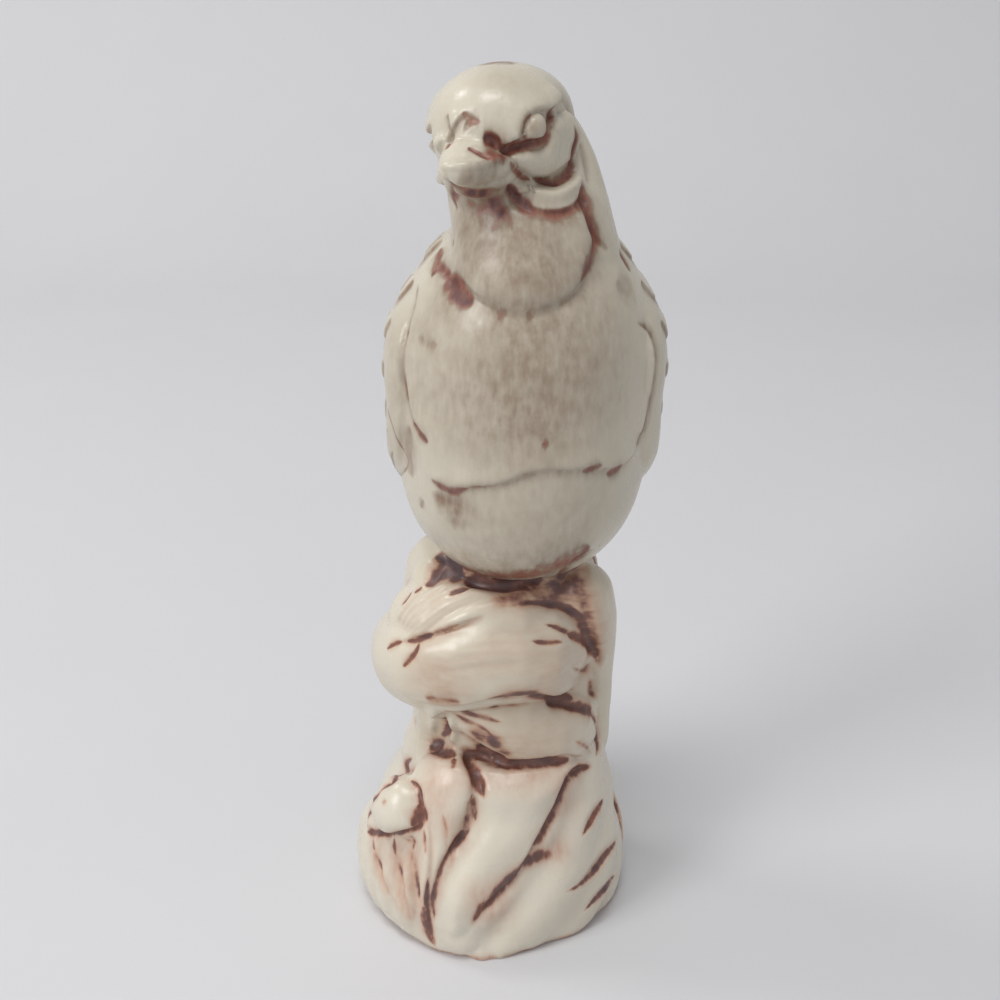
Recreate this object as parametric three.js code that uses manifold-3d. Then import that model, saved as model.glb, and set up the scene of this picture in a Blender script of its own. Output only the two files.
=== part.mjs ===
// A glazed earthenware songbird perched on a stump of coiled roots.
// Millimetres, +Z up, the breast faces -Y, the origin is on the table under the middle of the stump.
import * as THREE from "three";
import { mergeVertices } from "three/addons/utils/BufferGeometryUtils.js";
import Module from "manifold-3d";

const wasm = await Module();
wasm.setup();

const degrees = THREE.MathUtils.degToRad;

// Plinth of spreading roots
const PLINTH_WIDTH = 62.5;
const PLINTH_DEPTH = 58;
const PLINTH_HEIGHT = 47;
const PLINTH_SHIFT = -1.6;
const PLINTH_LEAN = 2.6;
const ROOT_TWIST = degrees(75);
const ROOT_GROOVE_DEPTH = 2.4;
const ROOT_GROOVE_WIDTH = 3.6;
const LOBE_SWELL = 1.8;
const POUR_HOLE_DIAMETER = 12;
const POUR_HOLE_DEPTH = 9;
const POUR_HOLE_SETBACK = 14;

// Pieces pressed onto the plinth's left
const BARK_PROUD = 0.7;
const BARK_SEAT = 1.6;
const BARK_FOOT = 2.2;
const BARK_TOP = 31;
const FLUTE_HEIGHT = 0.9;
const FLUTE_COUNT = 5;
const TONGUE_WIDTH = 16.5;
const TONGUE_THICKNESS = 7;
const BUD_WIDTH = 16;
const BUD_HEIGHT = 11.5;

// Upright trunk behind the coils
const TRUNK_WIDTH = 43;
const TRUNK_DEPTH = 36;
const TRUNK_HEIGHT = 64;
const TRUNK_SHIFT_X = 0.5;
const TRUNK_SHIFT_Y = 2;
const RIDGE_COUNT = 11;
const RIDGE_HEIGHT = 0.8;
const SIDE_ROOT_WIDTH = 15;

// Coils of root across the front of the trunk
const LOWER_COIL_HEIGHT = 19;
const LOWER_COIL_PROUD = 4.5;
const MAIN_COIL_HEIGHT = 24.5;
const MAIN_COIL_PROUD = 8.5;
const MAIN_COIL_APEX = 29;
const TOP_COIL_HEIGHT = 18;
const TOP_COIL_PROUD = 4.5;
const COIL_THICKNESS = 20;
const CURL_WIDTH = 3.4;
const CURL_LENGTH = 9.5;

// Bird's body
const BODY_WIDTH = 53;
const BREAST_REACH = 26;
const BACK_REACH = 25;
const BODY_HEIGHT = 79;
const BODY_SINK = 5;
const BODY_SHIFT = 5;
const BODY_LEAN = 5;
const BODY_SWAY = 1.5;
const BELLY_FOLD = 1.2;

// Neck with its bib, and head
const NECK_WIDTH = 32;
const NECK_DEPTH = 32;
const NECK_HEIGHT = 45;
const NECK_SHIFT = 1.5;
const NECK_FORWARD = 1;
const BIB_FLARE = 5.2;
const HOOD_FLARE = 1.2;
const HOOD_GROOVE = 0.9;
const FACE_RECESS = 4.5;
const HEAD_LENGTH = 31;
const HEAD_WIDTH = 26.4;
const HEAD_HEIGHT = 31;
const HEAD_TURN = degrees(-38);
const HEAD_SHIFT = 0.6;
const HEAD_FORWARD = 2.5;
const BROW_STEP = 1.3;

// Face
const BEAK_LENGTH = 7.4;
const BEAK_WIDTH = 15;
const BEAK_HEIGHT = 8.6;
const EYE_WIDTH = 4.8;
const CHEEK_WIDTH = 11;
const RUFF_WIDTH = 6;

// Wings and tail
const WING_PROUD = 2.3;
const WING_SEAT = 1.8;
const WING_LENGTH = 60;
const FEATHER_STEP = 0.7;
const FEATHER_COUNT = 5;
const TAIL_LENGTH = 68;
const TAIL_WIDTH = 23;
const TAIL_THICKNESS = 4;

// Clearance between neighbouring pieces, which the glaze fills
const FIT_GAP = 0.3;

const TAU = Math.PI * 2;
const MERGE_DISTANCE = 1e-4;
const UP = new THREE.Vector3(0, 0, 1);

function smoothStep(from, to, value) {
  const share = THREE.MathUtils.clamp((value - from) / (to - from), 0, 1);
  return share * share * (3 - 2 * share);
}

function bump(distance, width) {
  return Math.exp(-((distance / width) ** 2));
}

function wrapAngle(angle) {
  return angle - TAU * Math.round(angle / TAU);
}

// Azimuth is 0 at the front and grows towards +X
function outwards(azimuth) {
  return new THREE.Vector3(Math.sin(azimuth), -Math.cos(azimuth), 0);
}

function ellipseRadius(azimuth, halfWidth, halfDepth) {
  return 1 / Math.hypot(Math.sin(azimuth) / halfWidth, Math.cos(azimuth) / halfDepth);
}

// Shares the seam and pole vertices of a three.js geometry and drops its flattened triangles
function welded(geometry) {
  geometry.deleteAttribute("normal");
  geometry.deleteAttribute("uv");
  const merged = mergeVertices(geometry, MERGE_DISTANCE);
  const corners = merged.index.array;
  const kept = [];
  for (let i = 0; i < corners.length; i += 3) {
    const [a, b, c] = [corners[i], corners[i + 1], corners[i + 2]];
    if (a !== b && b !== c && c !== a) kept.push(a, b, c);
  }
  merged.setIndex(kept);
  return merged;
}

// Moves every vertex by one rule
function shaped(geometry, rule) {
  const solid = welded(geometry);
  const position = solid.attributes.position;
  const point = new THREE.Vector3();
  for (let i = 0; i < position.count; i += 1) {
    point.fromBufferAttribute(position, i);
    rule(point);
    position.setXYZ(i, point.x, point.y, point.z);
  }
  return solid;
}

// Swells a closed skin along its normals, to cut a seat with clearance
function swollen(geometry, distance) {
  const copy = geometry.clone();
  copy.computeVertexNormals();
  const { position, normal } = copy.attributes;
  const point = new THREE.Vector3();
  const push = new THREE.Vector3();
  for (let i = 0; i < position.count; i += 1) {
    point.fromBufferAttribute(position, i);
    push.fromBufferAttribute(normal, i);
    point.addScaledVector(push, distance);
    position.setXYZ(i, point.x, point.y, point.z);
  }
  copy.deleteAttribute("normal");
  return copy;
}

function toSolid(geometry) {
  const mesh = new wasm.Mesh({
    numProp: 3,
    vertProperties: new Float32Array(geometry.attributes.position.array),
    triVerts: new Uint32Array(geometry.index.array),
  });
  return new wasm.Manifold(mesh);
}

function toGeometry(solid) {
  const mesh = solid.getMesh();
  const geometry = new THREE.BufferGeometry();
  geometry.setAttribute("position", new THREE.BufferAttribute(mesh.vertProperties, 3));
  geometry.setIndex(new THREE.BufferAttribute(mesh.triVerts, 1));
  return geometry;
}

// What is left of a piece once its neighbours and the clearance round them are taken away
function seated(geometry, neighbours) {
  let solid = toSolid(geometry);
  for (const neighbour of neighbours) {
    solid = solid.subtract(toSolid(swollen(neighbour, FIT_GAP)));
  }
  return toGeometry(solid);
}

// A drum: its rings follow (radius share, height share) points, its sides follow a radius rule
function drum({ points, around, height, radiusAt, twist = 0 }) {
  const profile = points.map(([share, level]) => new THREE.Vector2(share, level));
  return shaped(new THREE.LatheGeometry(profile, around), (p) => {
    const share = Math.hypot(p.x, p.z);
    const z = p.y * height;
    const azimuth = Math.atan2(p.x, p.z) + twist * z;
    p.copy(outwards(azimuth)).multiplyScalar(share * radiusAt(azimuth, z, share));
    p.z = z;
  });
}

// An egg: a superellipse in height, with a reach to the front and to the back of its own
function egg({ around, rings, radiusAt, up, down, powerUp, powerDown, placeAt }) {
  return shaped(new THREE.SphereGeometry(1, around, rings), (p) => {
    const power = p.y > 0 ? powerUp : powerDown;
    const level = Math.sign(p.y) * Math.abs(p.y) ** (2 / power);
    const share = Math.hypot(p.x, p.z);
    const azimuth = Math.atan2(p.x, p.z);
    const z = level * (level > 0 ? up : down);
    p.copy(outwards(azimuth)).multiplyScalar(share * radiusAt(azimuth, z));
    p.z = z;
    placeAt(p);
  });
}

// A closed roll along a curve; its section spreads sideways and towards where it faces
function roll({ path, around, along, widthAt, depthAt, faceAt, relief = () => 0 }) {
  return shaped(new THREE.SphereGeometry(1, around, along), (p) => {
    const round = Math.hypot(p.x, p.z);
    const share = 0.5 - 0.5 * p.y;
    const angle = Math.atan2(p.x, p.z);
    const centre = path.getPointAt(share);
    const tangent = path.getTangentAt(share);
    const side = new THREE.Vector3().crossVectors(tangent, faceAt(centre)).normalize();
    const face = new THREE.Vector3().crossVectors(side, tangent).normalize();
    const ends = Math.min(1, round * 1.6) * 0.5 * (1 + relief(share, angle));
    p.copy(centre);
    p.addScaledVector(side, Math.cos(angle) * ends * widthAt(share));
    p.addScaledVector(face, Math.sin(angle) * ends * depthAt(share));
  });
}

// A slab on a gridded box: u and v run from -1 to 1 across it, and its faces lie at depth -1 and 1
function slab(columns, rows, pointAt) {
  return shaped(new THREE.BoxGeometry(2, 2, 2, columns, rows, 1), (p) => p.copy(pointAt(p.x, p.y, p.z)));
}

function curve(points) {
  return new THREE.CatmullRomCurve3(points.map(([x, y, z]) => new THREE.Vector3(x, y, z)));
}

// Value of a rule given by (place, value) points, read along straight lines between them
function along(points, place) {
  const next = points.findIndex(([at]) => at >= place);
  if (next < 0) return points[points.length - 1][1];
  if (next === 0) return points[0][1];
  const [a, valueA] = points[next - 1];
  const [b, valueB] = points[next];
  return valueA + ((valueB - valueA) * (place - a)) / (b - a);
}

// Plinth: spreading roots that swirl down to the left, round a dome that carries the trunk
const plinthSide = [
  [0, 0.965],
  [0.03, 0.99],
  [0.1, 1.01],
  [0.2, 1.02],
  [0.3, 1.01],
  [0.38, 0.985],
  [0.46, 0.945],
  [0.55, 0.905],
  [0.64, 0.865],
  [0.73, 0.79],
  [0.82, 0.77],
  [0.9, 0.75],
  [0.955, 0.69],
  [0.985, 0.54],
];
const plinthPoints = [[0, 0], [0.5, 0], ...plinthSide.map(([level, share]) => [share, level]), [0, 1]];
const strandGrooves = [
  [16, 1],
  [53, 0.55],
  [82, 0.45],
  [125, 0.6],
  [170, 0.5],
  [215, 0.6],
  [255, 0.5],
];
const grooveMiddle = 0.35 * PLINTH_HEIGHT;
const twistRate = ROOT_TWIST / PLINTH_HEIGHT;

function plinthRadius(azimuth, z) {
  const strand = azimuth - twistRate * (z - grooveMiddle);
  let radius = ellipseRadius(azimuth, PLINTH_WIDTH / 2, PLINTH_DEPTH / 2);
  for (const [place, share] of strandGrooves) {
    const offset = wrapAngle(strand - degrees(place)) * radius;
    radius -= share * ROOT_GROOVE_DEPTH * bump(offset, ROOT_GROOVE_WIDTH);
  }
  const lobe = bump(wrapAngle(azimuth + degrees(20)), degrees(17));
  return radius + LOBE_SWELL * lobe * smoothStep(0.64 * PLINTH_HEIGHT, 0.17 * PLINTH_HEIGHT, z);
}

function plinthCentre(z) {
  return PLINTH_SHIFT + PLINTH_LEAN * smoothStep(0.45 * PLINTH_HEIGHT, 0.75 * PLINTH_HEIGHT, z);
}

function plinthPoint(azimuth, z, proud) {
  const radius = plinthRadius(azimuth, z) * along(plinthSide, z / PLINTH_HEIGHT) + proud;
  const point = outwards(azimuth).multiplyScalar(radius);
  point.x += plinthCentre(z);
  point.z = z;
  return point;
}

const plinthDrum = drum({
  points: plinthPoints,
  around: 58,
  height: PLINTH_HEIGHT,
  radiusAt: plinthRadius,
  twist: twistRate,
});
const plinthSkin = shaped(plinthDrum, (p) => {
  p.x += plinthCentre(p.z);
});

function plinth() {
  const hole = new THREE.CylinderGeometry(POUR_HOLE_DIAMETER / 2, POUR_HOLE_DIAMETER / 2, 2 * POUR_HOLE_DEPTH, 32);
  hole.rotateX(Math.PI / 2).translate(PLINTH_SHIFT, POUR_HOLE_SETBACK, 0);
  return toGeometry(toSolid(plinthSkin).subtract(toSolid(welded(hole))));
}

// Bark flutes: a panel of upright ridges below the bud
const barkFrom = degrees(-95);
const barkTo = degrees(-33);

function barkSkin() {
  return slab(20, 7, (u, v, depth) => {
    const z = BARK_FOOT + ((BARK_TOP - BARK_FOOT) * (v + 1)) / 2;
    const narrowing = 0.16 * smoothStep(0, -1, v) + 0.3 * smoothStep(0.2, 1, v) * smoothStep(1, -1, u);
    const azimuth = barkFrom + ((barkTo - barkFrom) * (u * (1 - narrowing) + 1)) / 2;
    const ridge = FLUTE_HEIGHT * Math.abs(Math.sin((Math.PI / 2) * FLUTE_COUNT * (u + 1)));
    const foot = smoothStep(-1.3, -0.7, v);
    return plinthPoint(azimuth, z, depth > 0 ? foot * (BARK_PROUD + ridge) : -BARK_SEAT);
  });
}

// Root tongue: wide and fluted at the top, running down to a point between bark and front lobe
const tongueStops = [
  [-42, 1, 0.15],
  [-38, 0.86, 0.07],
  [-33, 0.6, 0.03],
  [-29, 0.38, -0.03],
  [-30, 0.12, -0.09],
];
const tonguePath = new THREE.CatmullRomCurve3(
  tongueStops.map(([azimuth, level, proud]) => {
    return plinthPoint(degrees(azimuth), level * PLINTH_HEIGHT, proud * TONGUE_THICKNESS);
  }),
);

function tongueSkin() {
  const width = [
    [0, 0.8],
    [0.2, 1],
    [0.4, 0.7],
    [0.7, 0.32],
    [1, 0.2],
  ];
  return roll({
    path: tonguePath,
    around: 14,
    along: 14,
    widthAt: (share) => TONGUE_WIDTH * along(width, share),
    depthAt: (share) => TONGUE_THICKNESS * (1 - 0.5 * share),
    faceAt: (p) => outwards(Math.atan2(p.x - PLINTH_SHIFT, -p.y)),
  });
}

// Bud: a pointed knob on top of the bark
const budAzimuth = degrees(-57);
const budMiddle = BARK_TOP + BUD_HEIGHT * 0.06;

function budSkin() {
  const seat = plinthPoint(budAzimuth, budMiddle, BUD_WIDTH * 0.08);
  return egg({
    around: 16,
    rings: 10,
    radiusAt: (azimuth) => ellipseRadius(azimuth - budAzimuth, BUD_WIDTH / 2, BUD_WIDTH * 0.42),
    up: BUD_HEIGHT * 0.72,
    down: BUD_HEIGHT * 0.5,
    powerUp: 1.5,
    powerDown: 2.6,
    placeAt: (p) => p.add(seat),
  });
}

// Trunk: long bark ridges, its top hollowed by the belly that sits on it
const trunkFoot = PLINTH_HEIGHT * 0.62;
const trunkTop = trunkFoot + TRUNK_HEIGHT;
const trunkPoints = [
  [0, 0],
  [0.97, 0],
  [0.98, 0.16],
  [0.97, 0.32],
  [0.98, 0.5],
  [1.02, 0.66],
  [1.02, 0.8],
  [0.97, 0.91],
  [0.84, 0.97],
  [0.5, 1],
  [0, 1],
];

const trunkSkin = drum({
  points: trunkPoints,
  around: 44,
  height: TRUNK_HEIGHT,
  radiusAt: (azimuth, z, share) => {
    const ridge = Math.cos(RIDGE_COUNT * azimuth) * smoothStep(0.5, 1, share);
    return ellipseRadius(azimuth, TRUNK_WIDTH / 2, TRUNK_DEPTH / 2) + RIDGE_HEIGHT * ridge;
  },
}).translate(TRUNK_SHIFT_X, TRUNK_SHIFT_Y, trunkFoot);

function trunkSide(azimuth, level, proud) {
  const radius = ellipseRadius(azimuth, TRUNK_WIDTH / 2, TRUNK_DEPTH / 2) + proud;
  const point = outwards(azimuth).multiplyScalar(radius);
  return new THREE.Vector3(point.x + TRUNK_SHIFT_X, point.y + TRUNK_SHIFT_Y, trunkFoot + level * TRUNK_HEIGHT);
}

// Side root: stands at the right, pinched behind the coils
const sideRootWidths = [
  [0, 1.05],
  [0.25, 0.9],
  [0.55, 0.42],
  [0.75, 0.4],
  [1, 0.6],
];
const sideRootStops = [
  [58, 0.97, -0.1],
  [64, 0.8, 0.03],
  [76, 0.55, 0.1],
  [82, 0.35, 0.1],
  [80, 0.1, 0],
];
const sideRootSkin = roll({
  path: new THREE.CatmullRomCurve3(
    sideRootStops.map(([azimuth, level, proud]) => trunkSide(degrees(azimuth), level, proud * SIDE_ROOT_WIDTH)),
  ),
  around: 14,
  along: 18,
  widthAt: (share) => SIDE_ROOT_WIDTH * along(sideRootWidths, share),
  depthAt: (share) => SIDE_ROOT_WIDTH * 0.85 * along(sideRootWidths, share),
  faceAt: () => outwards(degrees(70)),
});

// Coils: each tier's height is measured on the trunk, its reach from the trunk's front
const lowerZ = trunkFoot + 0.36 * TRUNK_HEIGHT;
const mainZ = trunkFoot + 0.675 * TRUNK_HEIGHT;
const topZ = trunkFoot + 0.82 * TRUNK_HEIGHT;
const halfThick = COIL_THICKNESS / 2;
const halfWide = TRUNK_WIDTH / 2;
const halfDeep = TRUNK_DEPTH / 2;
const trunkFront = TRUNK_SHIFT_Y - halfDeep;

// Place on a coil's path: shares of the trunk's half width and half depth, and of the coil's height
function beside(x, y, z, tier, height) {
  return [x * halfWide, y * halfDeep, tier + z * height];
}

// The same, but set back from the coil's front face by a share of half its thickness
function ahead(x, back, z, tier, height, proud) {
  return [x * halfWide, trunkFront - proud + back * halfThick, tier + z * height];
}

function strandRelief(strands, depth, turn) {
  return (share, angle) => depth * Math.cos(strands * (angle + turn * share)) * smoothStep(0.15, 0.6, share);
}

function outFromTrunk(p) {
  return new THREE.Vector3(p.x, p.y - TRUNK_SHIFT_Y, 0);
}

const lowerCoilSkin = roll({
  path: curve([
    ahead(-0.79, 0.8, 0.42, lowerZ, LOWER_COIL_HEIGHT, LOWER_COIL_PROUD),
    ahead(-0.42, 0.8, 0.32, lowerZ, LOWER_COIL_HEIGHT, LOWER_COIL_PROUD),
    ahead(0.14, 0.75, 0.13, lowerZ, LOWER_COIL_HEIGHT, LOWER_COIL_PROUD),
    ahead(0.56, 1.1, -0.05, lowerZ, LOWER_COIL_HEIGHT, LOWER_COIL_PROUD),
    beside(0.79, 0, -0.26, lowerZ, LOWER_COIL_HEIGHT),
  ]),
  around: 15,
  along: 18,
  widthAt: (share) => LOWER_COIL_HEIGHT * (0.35 + 0.68 * smoothStep(0, 0.7, share)),
  depthAt: (share) => 0.8 * COIL_THICKNESS * (0.45 + 0.55 * smoothStep(0, 0.5, share)),
  faceAt: outFromTrunk,
  relief: strandRelief(6, 0.03, 1),
});

const mainCoilSkin = roll({
  path: curve([
    beside(-0.28, 0.55, -0.33, mainZ, MAIN_COIL_HEIGHT),
    [-0.65 * MAIN_COIL_APEX, 0.39 * halfDeep, mainZ - 0.33 * MAIN_COIL_HEIGHT],
    [0.95 * halfThick - MAIN_COIL_APEX, -0.06 * halfDeep, mainZ - 0.29 * MAIN_COIL_HEIGHT],
    [1.3 * halfThick - MAIN_COIL_APEX, trunkFront - MAIN_COIL_PROUD + 1.4 * halfThick, mainZ - 0.14 * MAIN_COIL_HEIGHT],
    ahead(-0.09, 1, 0.06, mainZ, MAIN_COIL_HEIGHT, MAIN_COIL_PROUD),
    ahead(0.37, 1.2, 0.04, mainZ, MAIN_COIL_HEIGHT, MAIN_COIL_PROUD),
    beside(0.53, -0.33, 0, mainZ, MAIN_COIL_HEIGHT),
    beside(0.42, 0.17, -0.08, mainZ, MAIN_COIL_HEIGHT),
  ]),
  around: 16,
  along: 22,
  widthAt: (share) => MAIN_COIL_HEIGHT * (0.82 + 0.2 * smoothStep(0.2, 0.6, share)),
  depthAt: () => COIL_THICKNESS,
  faceAt: outFromTrunk,
  relief: strandRelief(7, 0.025, 1.2),
});

const topCoilSkin = roll({
  path: curve([
    beside(-0.19, 0.33, -0.67, topZ, TOP_COIL_HEIGHT),
    beside(-0.6, 0.22, -0.5, topZ, TOP_COIL_HEIGHT),
    ahead(-0.7, 1.5, -0.28, topZ, TOP_COIL_HEIGHT, TOP_COIL_PROUD),
    ahead(-0.33, 1, -0.03, topZ, TOP_COIL_HEIGHT, TOP_COIL_PROUD),
    ahead(0.23, 1, 0.03, topZ, TOP_COIL_HEIGHT, TOP_COIL_PROUD),
    beside(0.42, -0.22, -0.11, topZ, TOP_COIL_HEIGHT),
    beside(0.33, 0.28, -0.33, topZ, TOP_COIL_HEIGHT),
  ]),
  around: 15,
  along: 18,
  widthAt: () => TOP_COIL_HEIGHT,
  depthAt: () => COIL_THICKNESS,
  faceAt: outFromTrunk,
  relief: strandRelief(6, 0.03, 1.5),
});

// Curls: two short root tips that hang in the notch beside the lower coil
function curlSkin(place, length) {
  const x = place * halfWide;
  const y = trunkFront - MAIN_COIL_PROUD + 0.45 * halfThick;
  const top = mainZ - MAIN_COIL_HEIGHT * 0.28;
  return roll({
    path: curve([
      [x + 0.3 * CURL_WIDTH, y + 1.5 * CURL_WIDTH, top],
      [x, y + 0.3 * CURL_WIDTH, top - 0.35 * length],
      [x + 0.2 * CURL_WIDTH, y + 0.45 * CURL_WIDTH, top - 0.75 * length],
      [x + 0.5 * CURL_WIDTH, y + 1.2 * CURL_WIDTH, top - length],
    ]),
    around: 12,
    along: 14,
    widthAt: (share) => CURL_WIDTH * (1.15 - 0.4 * share),
    depthAt: () => CURL_WIDTH,
    faceAt: () => outwards(0),
  });
}

// Body: breast, belly and back as one egg whose lower end sits in the trunk
const bodyBottom = trunkTop - BODY_SINK;
const bodyDown = BODY_HEIGHT * 0.47;
const bodyUp = BODY_HEIGHT - bodyDown;
const bodyMiddle = bodyBottom + bodyDown;
const bodyPowers = [3.4, 3.4];

function bodyRadius(azimuth, z) {
  const reach = Math.abs(azimuth) < Math.PI / 2 ? BREAST_REACH : BACK_REACH;
  const foldLevel = -0.09 + 0.044 * azimuth + 0.028 * azimuth * azimuth;
  const above = z / BODY_HEIGHT - foldLevel;
  const front = smoothStep(degrees(85), degrees(60), Math.abs(azimuth));
  const fold = 0.5 * bump(above, 0.05) + 0.6 * smoothStep(0.025, -0.05, above);
  return ellipseRadius(azimuth, BODY_WIDTH / 2, reach) - BELLY_FOLD * fold * front;
}

function placeOnBody(p) {
  p.x += BODY_SHIFT + (BODY_SWAY * p.z) / BODY_HEIGHT;
  p.y += (BODY_LEAN * p.z) / BODY_HEIGHT;
  p.z += bodyMiddle;
}

function bodyPoint(azimuth, z, proud) {
  const height = z - bodyMiddle;
  const level = Math.min(0.98, Math.abs(height) / (height > 0 ? bodyUp : bodyDown));
  const share = Math.sqrt(1 - level ** (height > 0 ? bodyPowers[0] : bodyPowers[1]));
  const point = outwards(azimuth).multiplyScalar(share * bodyRadius(wrapAngle(azimuth), height) + proud);
  point.z = height;
  placeOnBody(point);
  return point;
}

const bodySkin = egg({
  around: 36,
  rings: 18,
  radiusAt: bodyRadius,
  up: bodyUp,
  down: bodyDown,
  powerUp: bodyPowers[0],
  powerDown: bodyPowers[1],
  placeAt: placeOnBody,
});

// Neck: a hood that flares into the bib at the front and climbs to the crown behind
const neckMiddle = bodyMiddle + 0.93 * bodyUp;
const neckPowers = [2.6, 3];
const neckUp = NECK_HEIGHT * 0.62;
const neckDown = NECK_HEIGHT - neckUp;

function neckRadius(turn, z) {
  const azimuth = wrapAngle(turn);
  const level = z / NECK_HEIGHT;
  const away = Math.abs(wrapAngle(azimuth + degrees(27)));
  const bib = BIB_FLARE * smoothStep(0.16, -0.2, level) * smoothStep(degrees(66), degrees(6), away);
  const hood = HOOD_FLARE * smoothStep(0.09, -0.22, level) * smoothStep(degrees(80), degrees(110), away);
  const face = FACE_RECESS * smoothStep(0.11, 0.24, level) * smoothStep(degrees(76), degrees(58), Math.abs(azimuth));
  const groove = HOOD_GROOVE * smoothStep(0.36, 0.13, level) * bump(away - degrees(78), degrees(9));
  return ellipseRadius(azimuth, NECK_WIDTH / 2, NECK_DEPTH / 2) + bib + hood - face - groove;
}

function placeOnNeck(p) {
  p.x += BODY_SHIFT + NECK_SHIFT - 0.2 * p.z;
  p.y += 0.25 * p.z - NECK_FORWARD;
  p.z += neckMiddle;
}

const neckSkin = egg({
  around: 28,
  rings: 13,
  radiusAt: neckRadius,
  up: neckUp,
  down: neckDown,
  powerUp: neckPowers[0],
  powerDown: neckPowers[1],
  placeAt: placeOnNeck,
});

function neckPoint(azimuth, level, proud) {
  const height = level * NECK_HEIGHT;
  const part = Math.abs(height) / (height > 0 ? neckUp : neckDown);
  const share = Math.sqrt(1 - part ** (height > 0 ? neckPowers[0] : neckPowers[1]));
  const point = outwards(azimuth).multiplyScalar(share * neckRadius(azimuth, height) + proud);
  point.z = height;
  placeOnNeck(point);
  return point;
}

// Head: a domed egg turned towards the bird's right
const headMiddle = neckMiddle + 0.34 * NECK_HEIGHT;
const crownPower = 3.1;
const jawPower = 2.1;

// The crown overhangs the face along a brow that climbs behind the eye
function headRadius(azimuth, z) {
  const away = Math.abs(azimuth);
  const brow = (0.1 + 0.5 * smoothStep(degrees(72), degrees(108), away)) * HEAD_HEIGHT / 2;
  const face = smoothStep(degrees(135), degrees(115), away);
  const step = smoothStep(brow + 0.5 * BROW_STEP, brow - 1.2 * BROW_STEP, z);
  const hollow = BROW_STEP * (1 + 0.8 * Math.sin(azimuth) ** 2);
  return ellipseRadius(azimuth, HEAD_WIDTH / 2, HEAD_LENGTH / 2) - hollow * step * face;
}

function placeOnHead(p) {
  p.applyAxisAngle(UP, HEAD_TURN);
  p.x += HEAD_SHIFT;
  p.y -= HEAD_FORWARD;
  p.z += headMiddle;
}

const headSkin = egg({
  around: 30,
  rings: 17,
  radiusAt: headRadius,
  up: HEAD_HEIGHT / 2,
  down: HEAD_HEIGHT / 2,
  powerUp: crownPower,
  powerDown: jawPower,
  placeAt: placeOnHead,
});

// Point on the head: turned from straight ahead, at a level from -1 at the chin to 1 at the crown
function headPoint(turn, level, proud) {
  const z = (level * HEAD_HEIGHT) / 2;
  const share = Math.sqrt(1 - Math.abs(level) ** (level > 0 ? crownPower : jawPower));
  const point = outwards(turn).multiplyScalar(share * headRadius(turn, z) + proud);
  point.z = z;
  placeOnHead(point);
  return point;
}

function fromHead(p) {
  const middle = new THREE.Vector3(0, 0, 0);
  placeOnHead(middle);
  return p.clone().sub(middle);
}

// Beak: a stubby wedge in two halves
function mandibleSkin({ rise, droop, length, width, height }) {
  const start = headPoint(degrees(16), rise, -0.5 * width);
  const middle = headPoint(degrees(12), rise, length * 0.3);
  const tip = headPoint(degrees(7), rise, length);
  middle.z -= droop * 0.3;
  tip.z -= droop;
  return roll({
    path: new THREE.CatmullRomCurve3([start, middle, tip]),
    around: 14,
    along: 11,
    widthAt: (share) => width * Math.sqrt(Math.max(0.015, 1 - share ** 1.5)),
    depthAt: (share) => height * Math.sqrt(Math.max(0.03, 1 - share ** 2.2)),
    faceAt: () => UP,
  });
}

const upperBeakSkin = mandibleSkin({
  rise: 0.04,
  droop: 0.3 * BEAK_HEIGHT,
  length: BEAK_LENGTH,
  width: BEAK_WIDTH,
  height: BEAK_HEIGHT,
});
const lowerBeakSkin = mandibleSkin({
  rise: -0.3,
  droop: -0.12 * BEAK_HEIGHT,
  length: BEAK_LENGTH * 0.7,
  width: BEAK_WIDTH * 0.8,
  height: BEAK_HEIGHT * 0.7,
});

// Eyes and cheeks, one for each side of the face
function eyeSkin(side) {
  const turn = degrees(63) * side;
  const bead = (share) => Math.sqrt(1 - 0.97 * (2 * share - 1) ** 2);
  const proud = EYE_WIDTH * (side > 0 ? 0 : -0.18);
  return roll({
    path: new THREE.CatmullRomCurve3([
      headPoint(turn - degrees(6) * side, 0.19, proud - 0.1 * EYE_WIDTH),
      headPoint(turn, 0.36, proud),
      headPoint(turn + degrees(7) * side, 0.56, proud - 0.1 * EYE_WIDTH),
    ]),
    around: 12,
    along: 10,
    widthAt: (share) => EYE_WIDTH * (1.12 - 0.3 * share) * bead(share),
    depthAt: (share) => EYE_WIDTH * 0.8 * bead(share),
    faceAt: fromHead,
  });
}

const cheekWidths = [
  [0, 0.7],
  [0.35, 1.05],
  [0.6, 0.9],
  [1, 0.5],
];

function cheekSkin(side) {
  const stops = [
    [42, 0.07],
    [58, -0.01],
    [80, -0.02],
    [98, 0.09],
    [109, 0.26],
    [112, 0.45],
  ];
  const proud = CHEEK_WIDTH * (side > 0 ? 0.05 : -0.1);
  return roll({
    path: new THREE.CatmullRomCurve3(stops.map(([turn, level]) => headPoint(degrees(turn) * side, level, proud))),
    around: 14,
    along: 14,
    widthAt: (share) => CHEEK_WIDTH * along(cheekWidths, share),
    depthAt: () => CHEEK_WIDTH * 0.42,
    faceAt: fromHead,
  });
}

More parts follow.
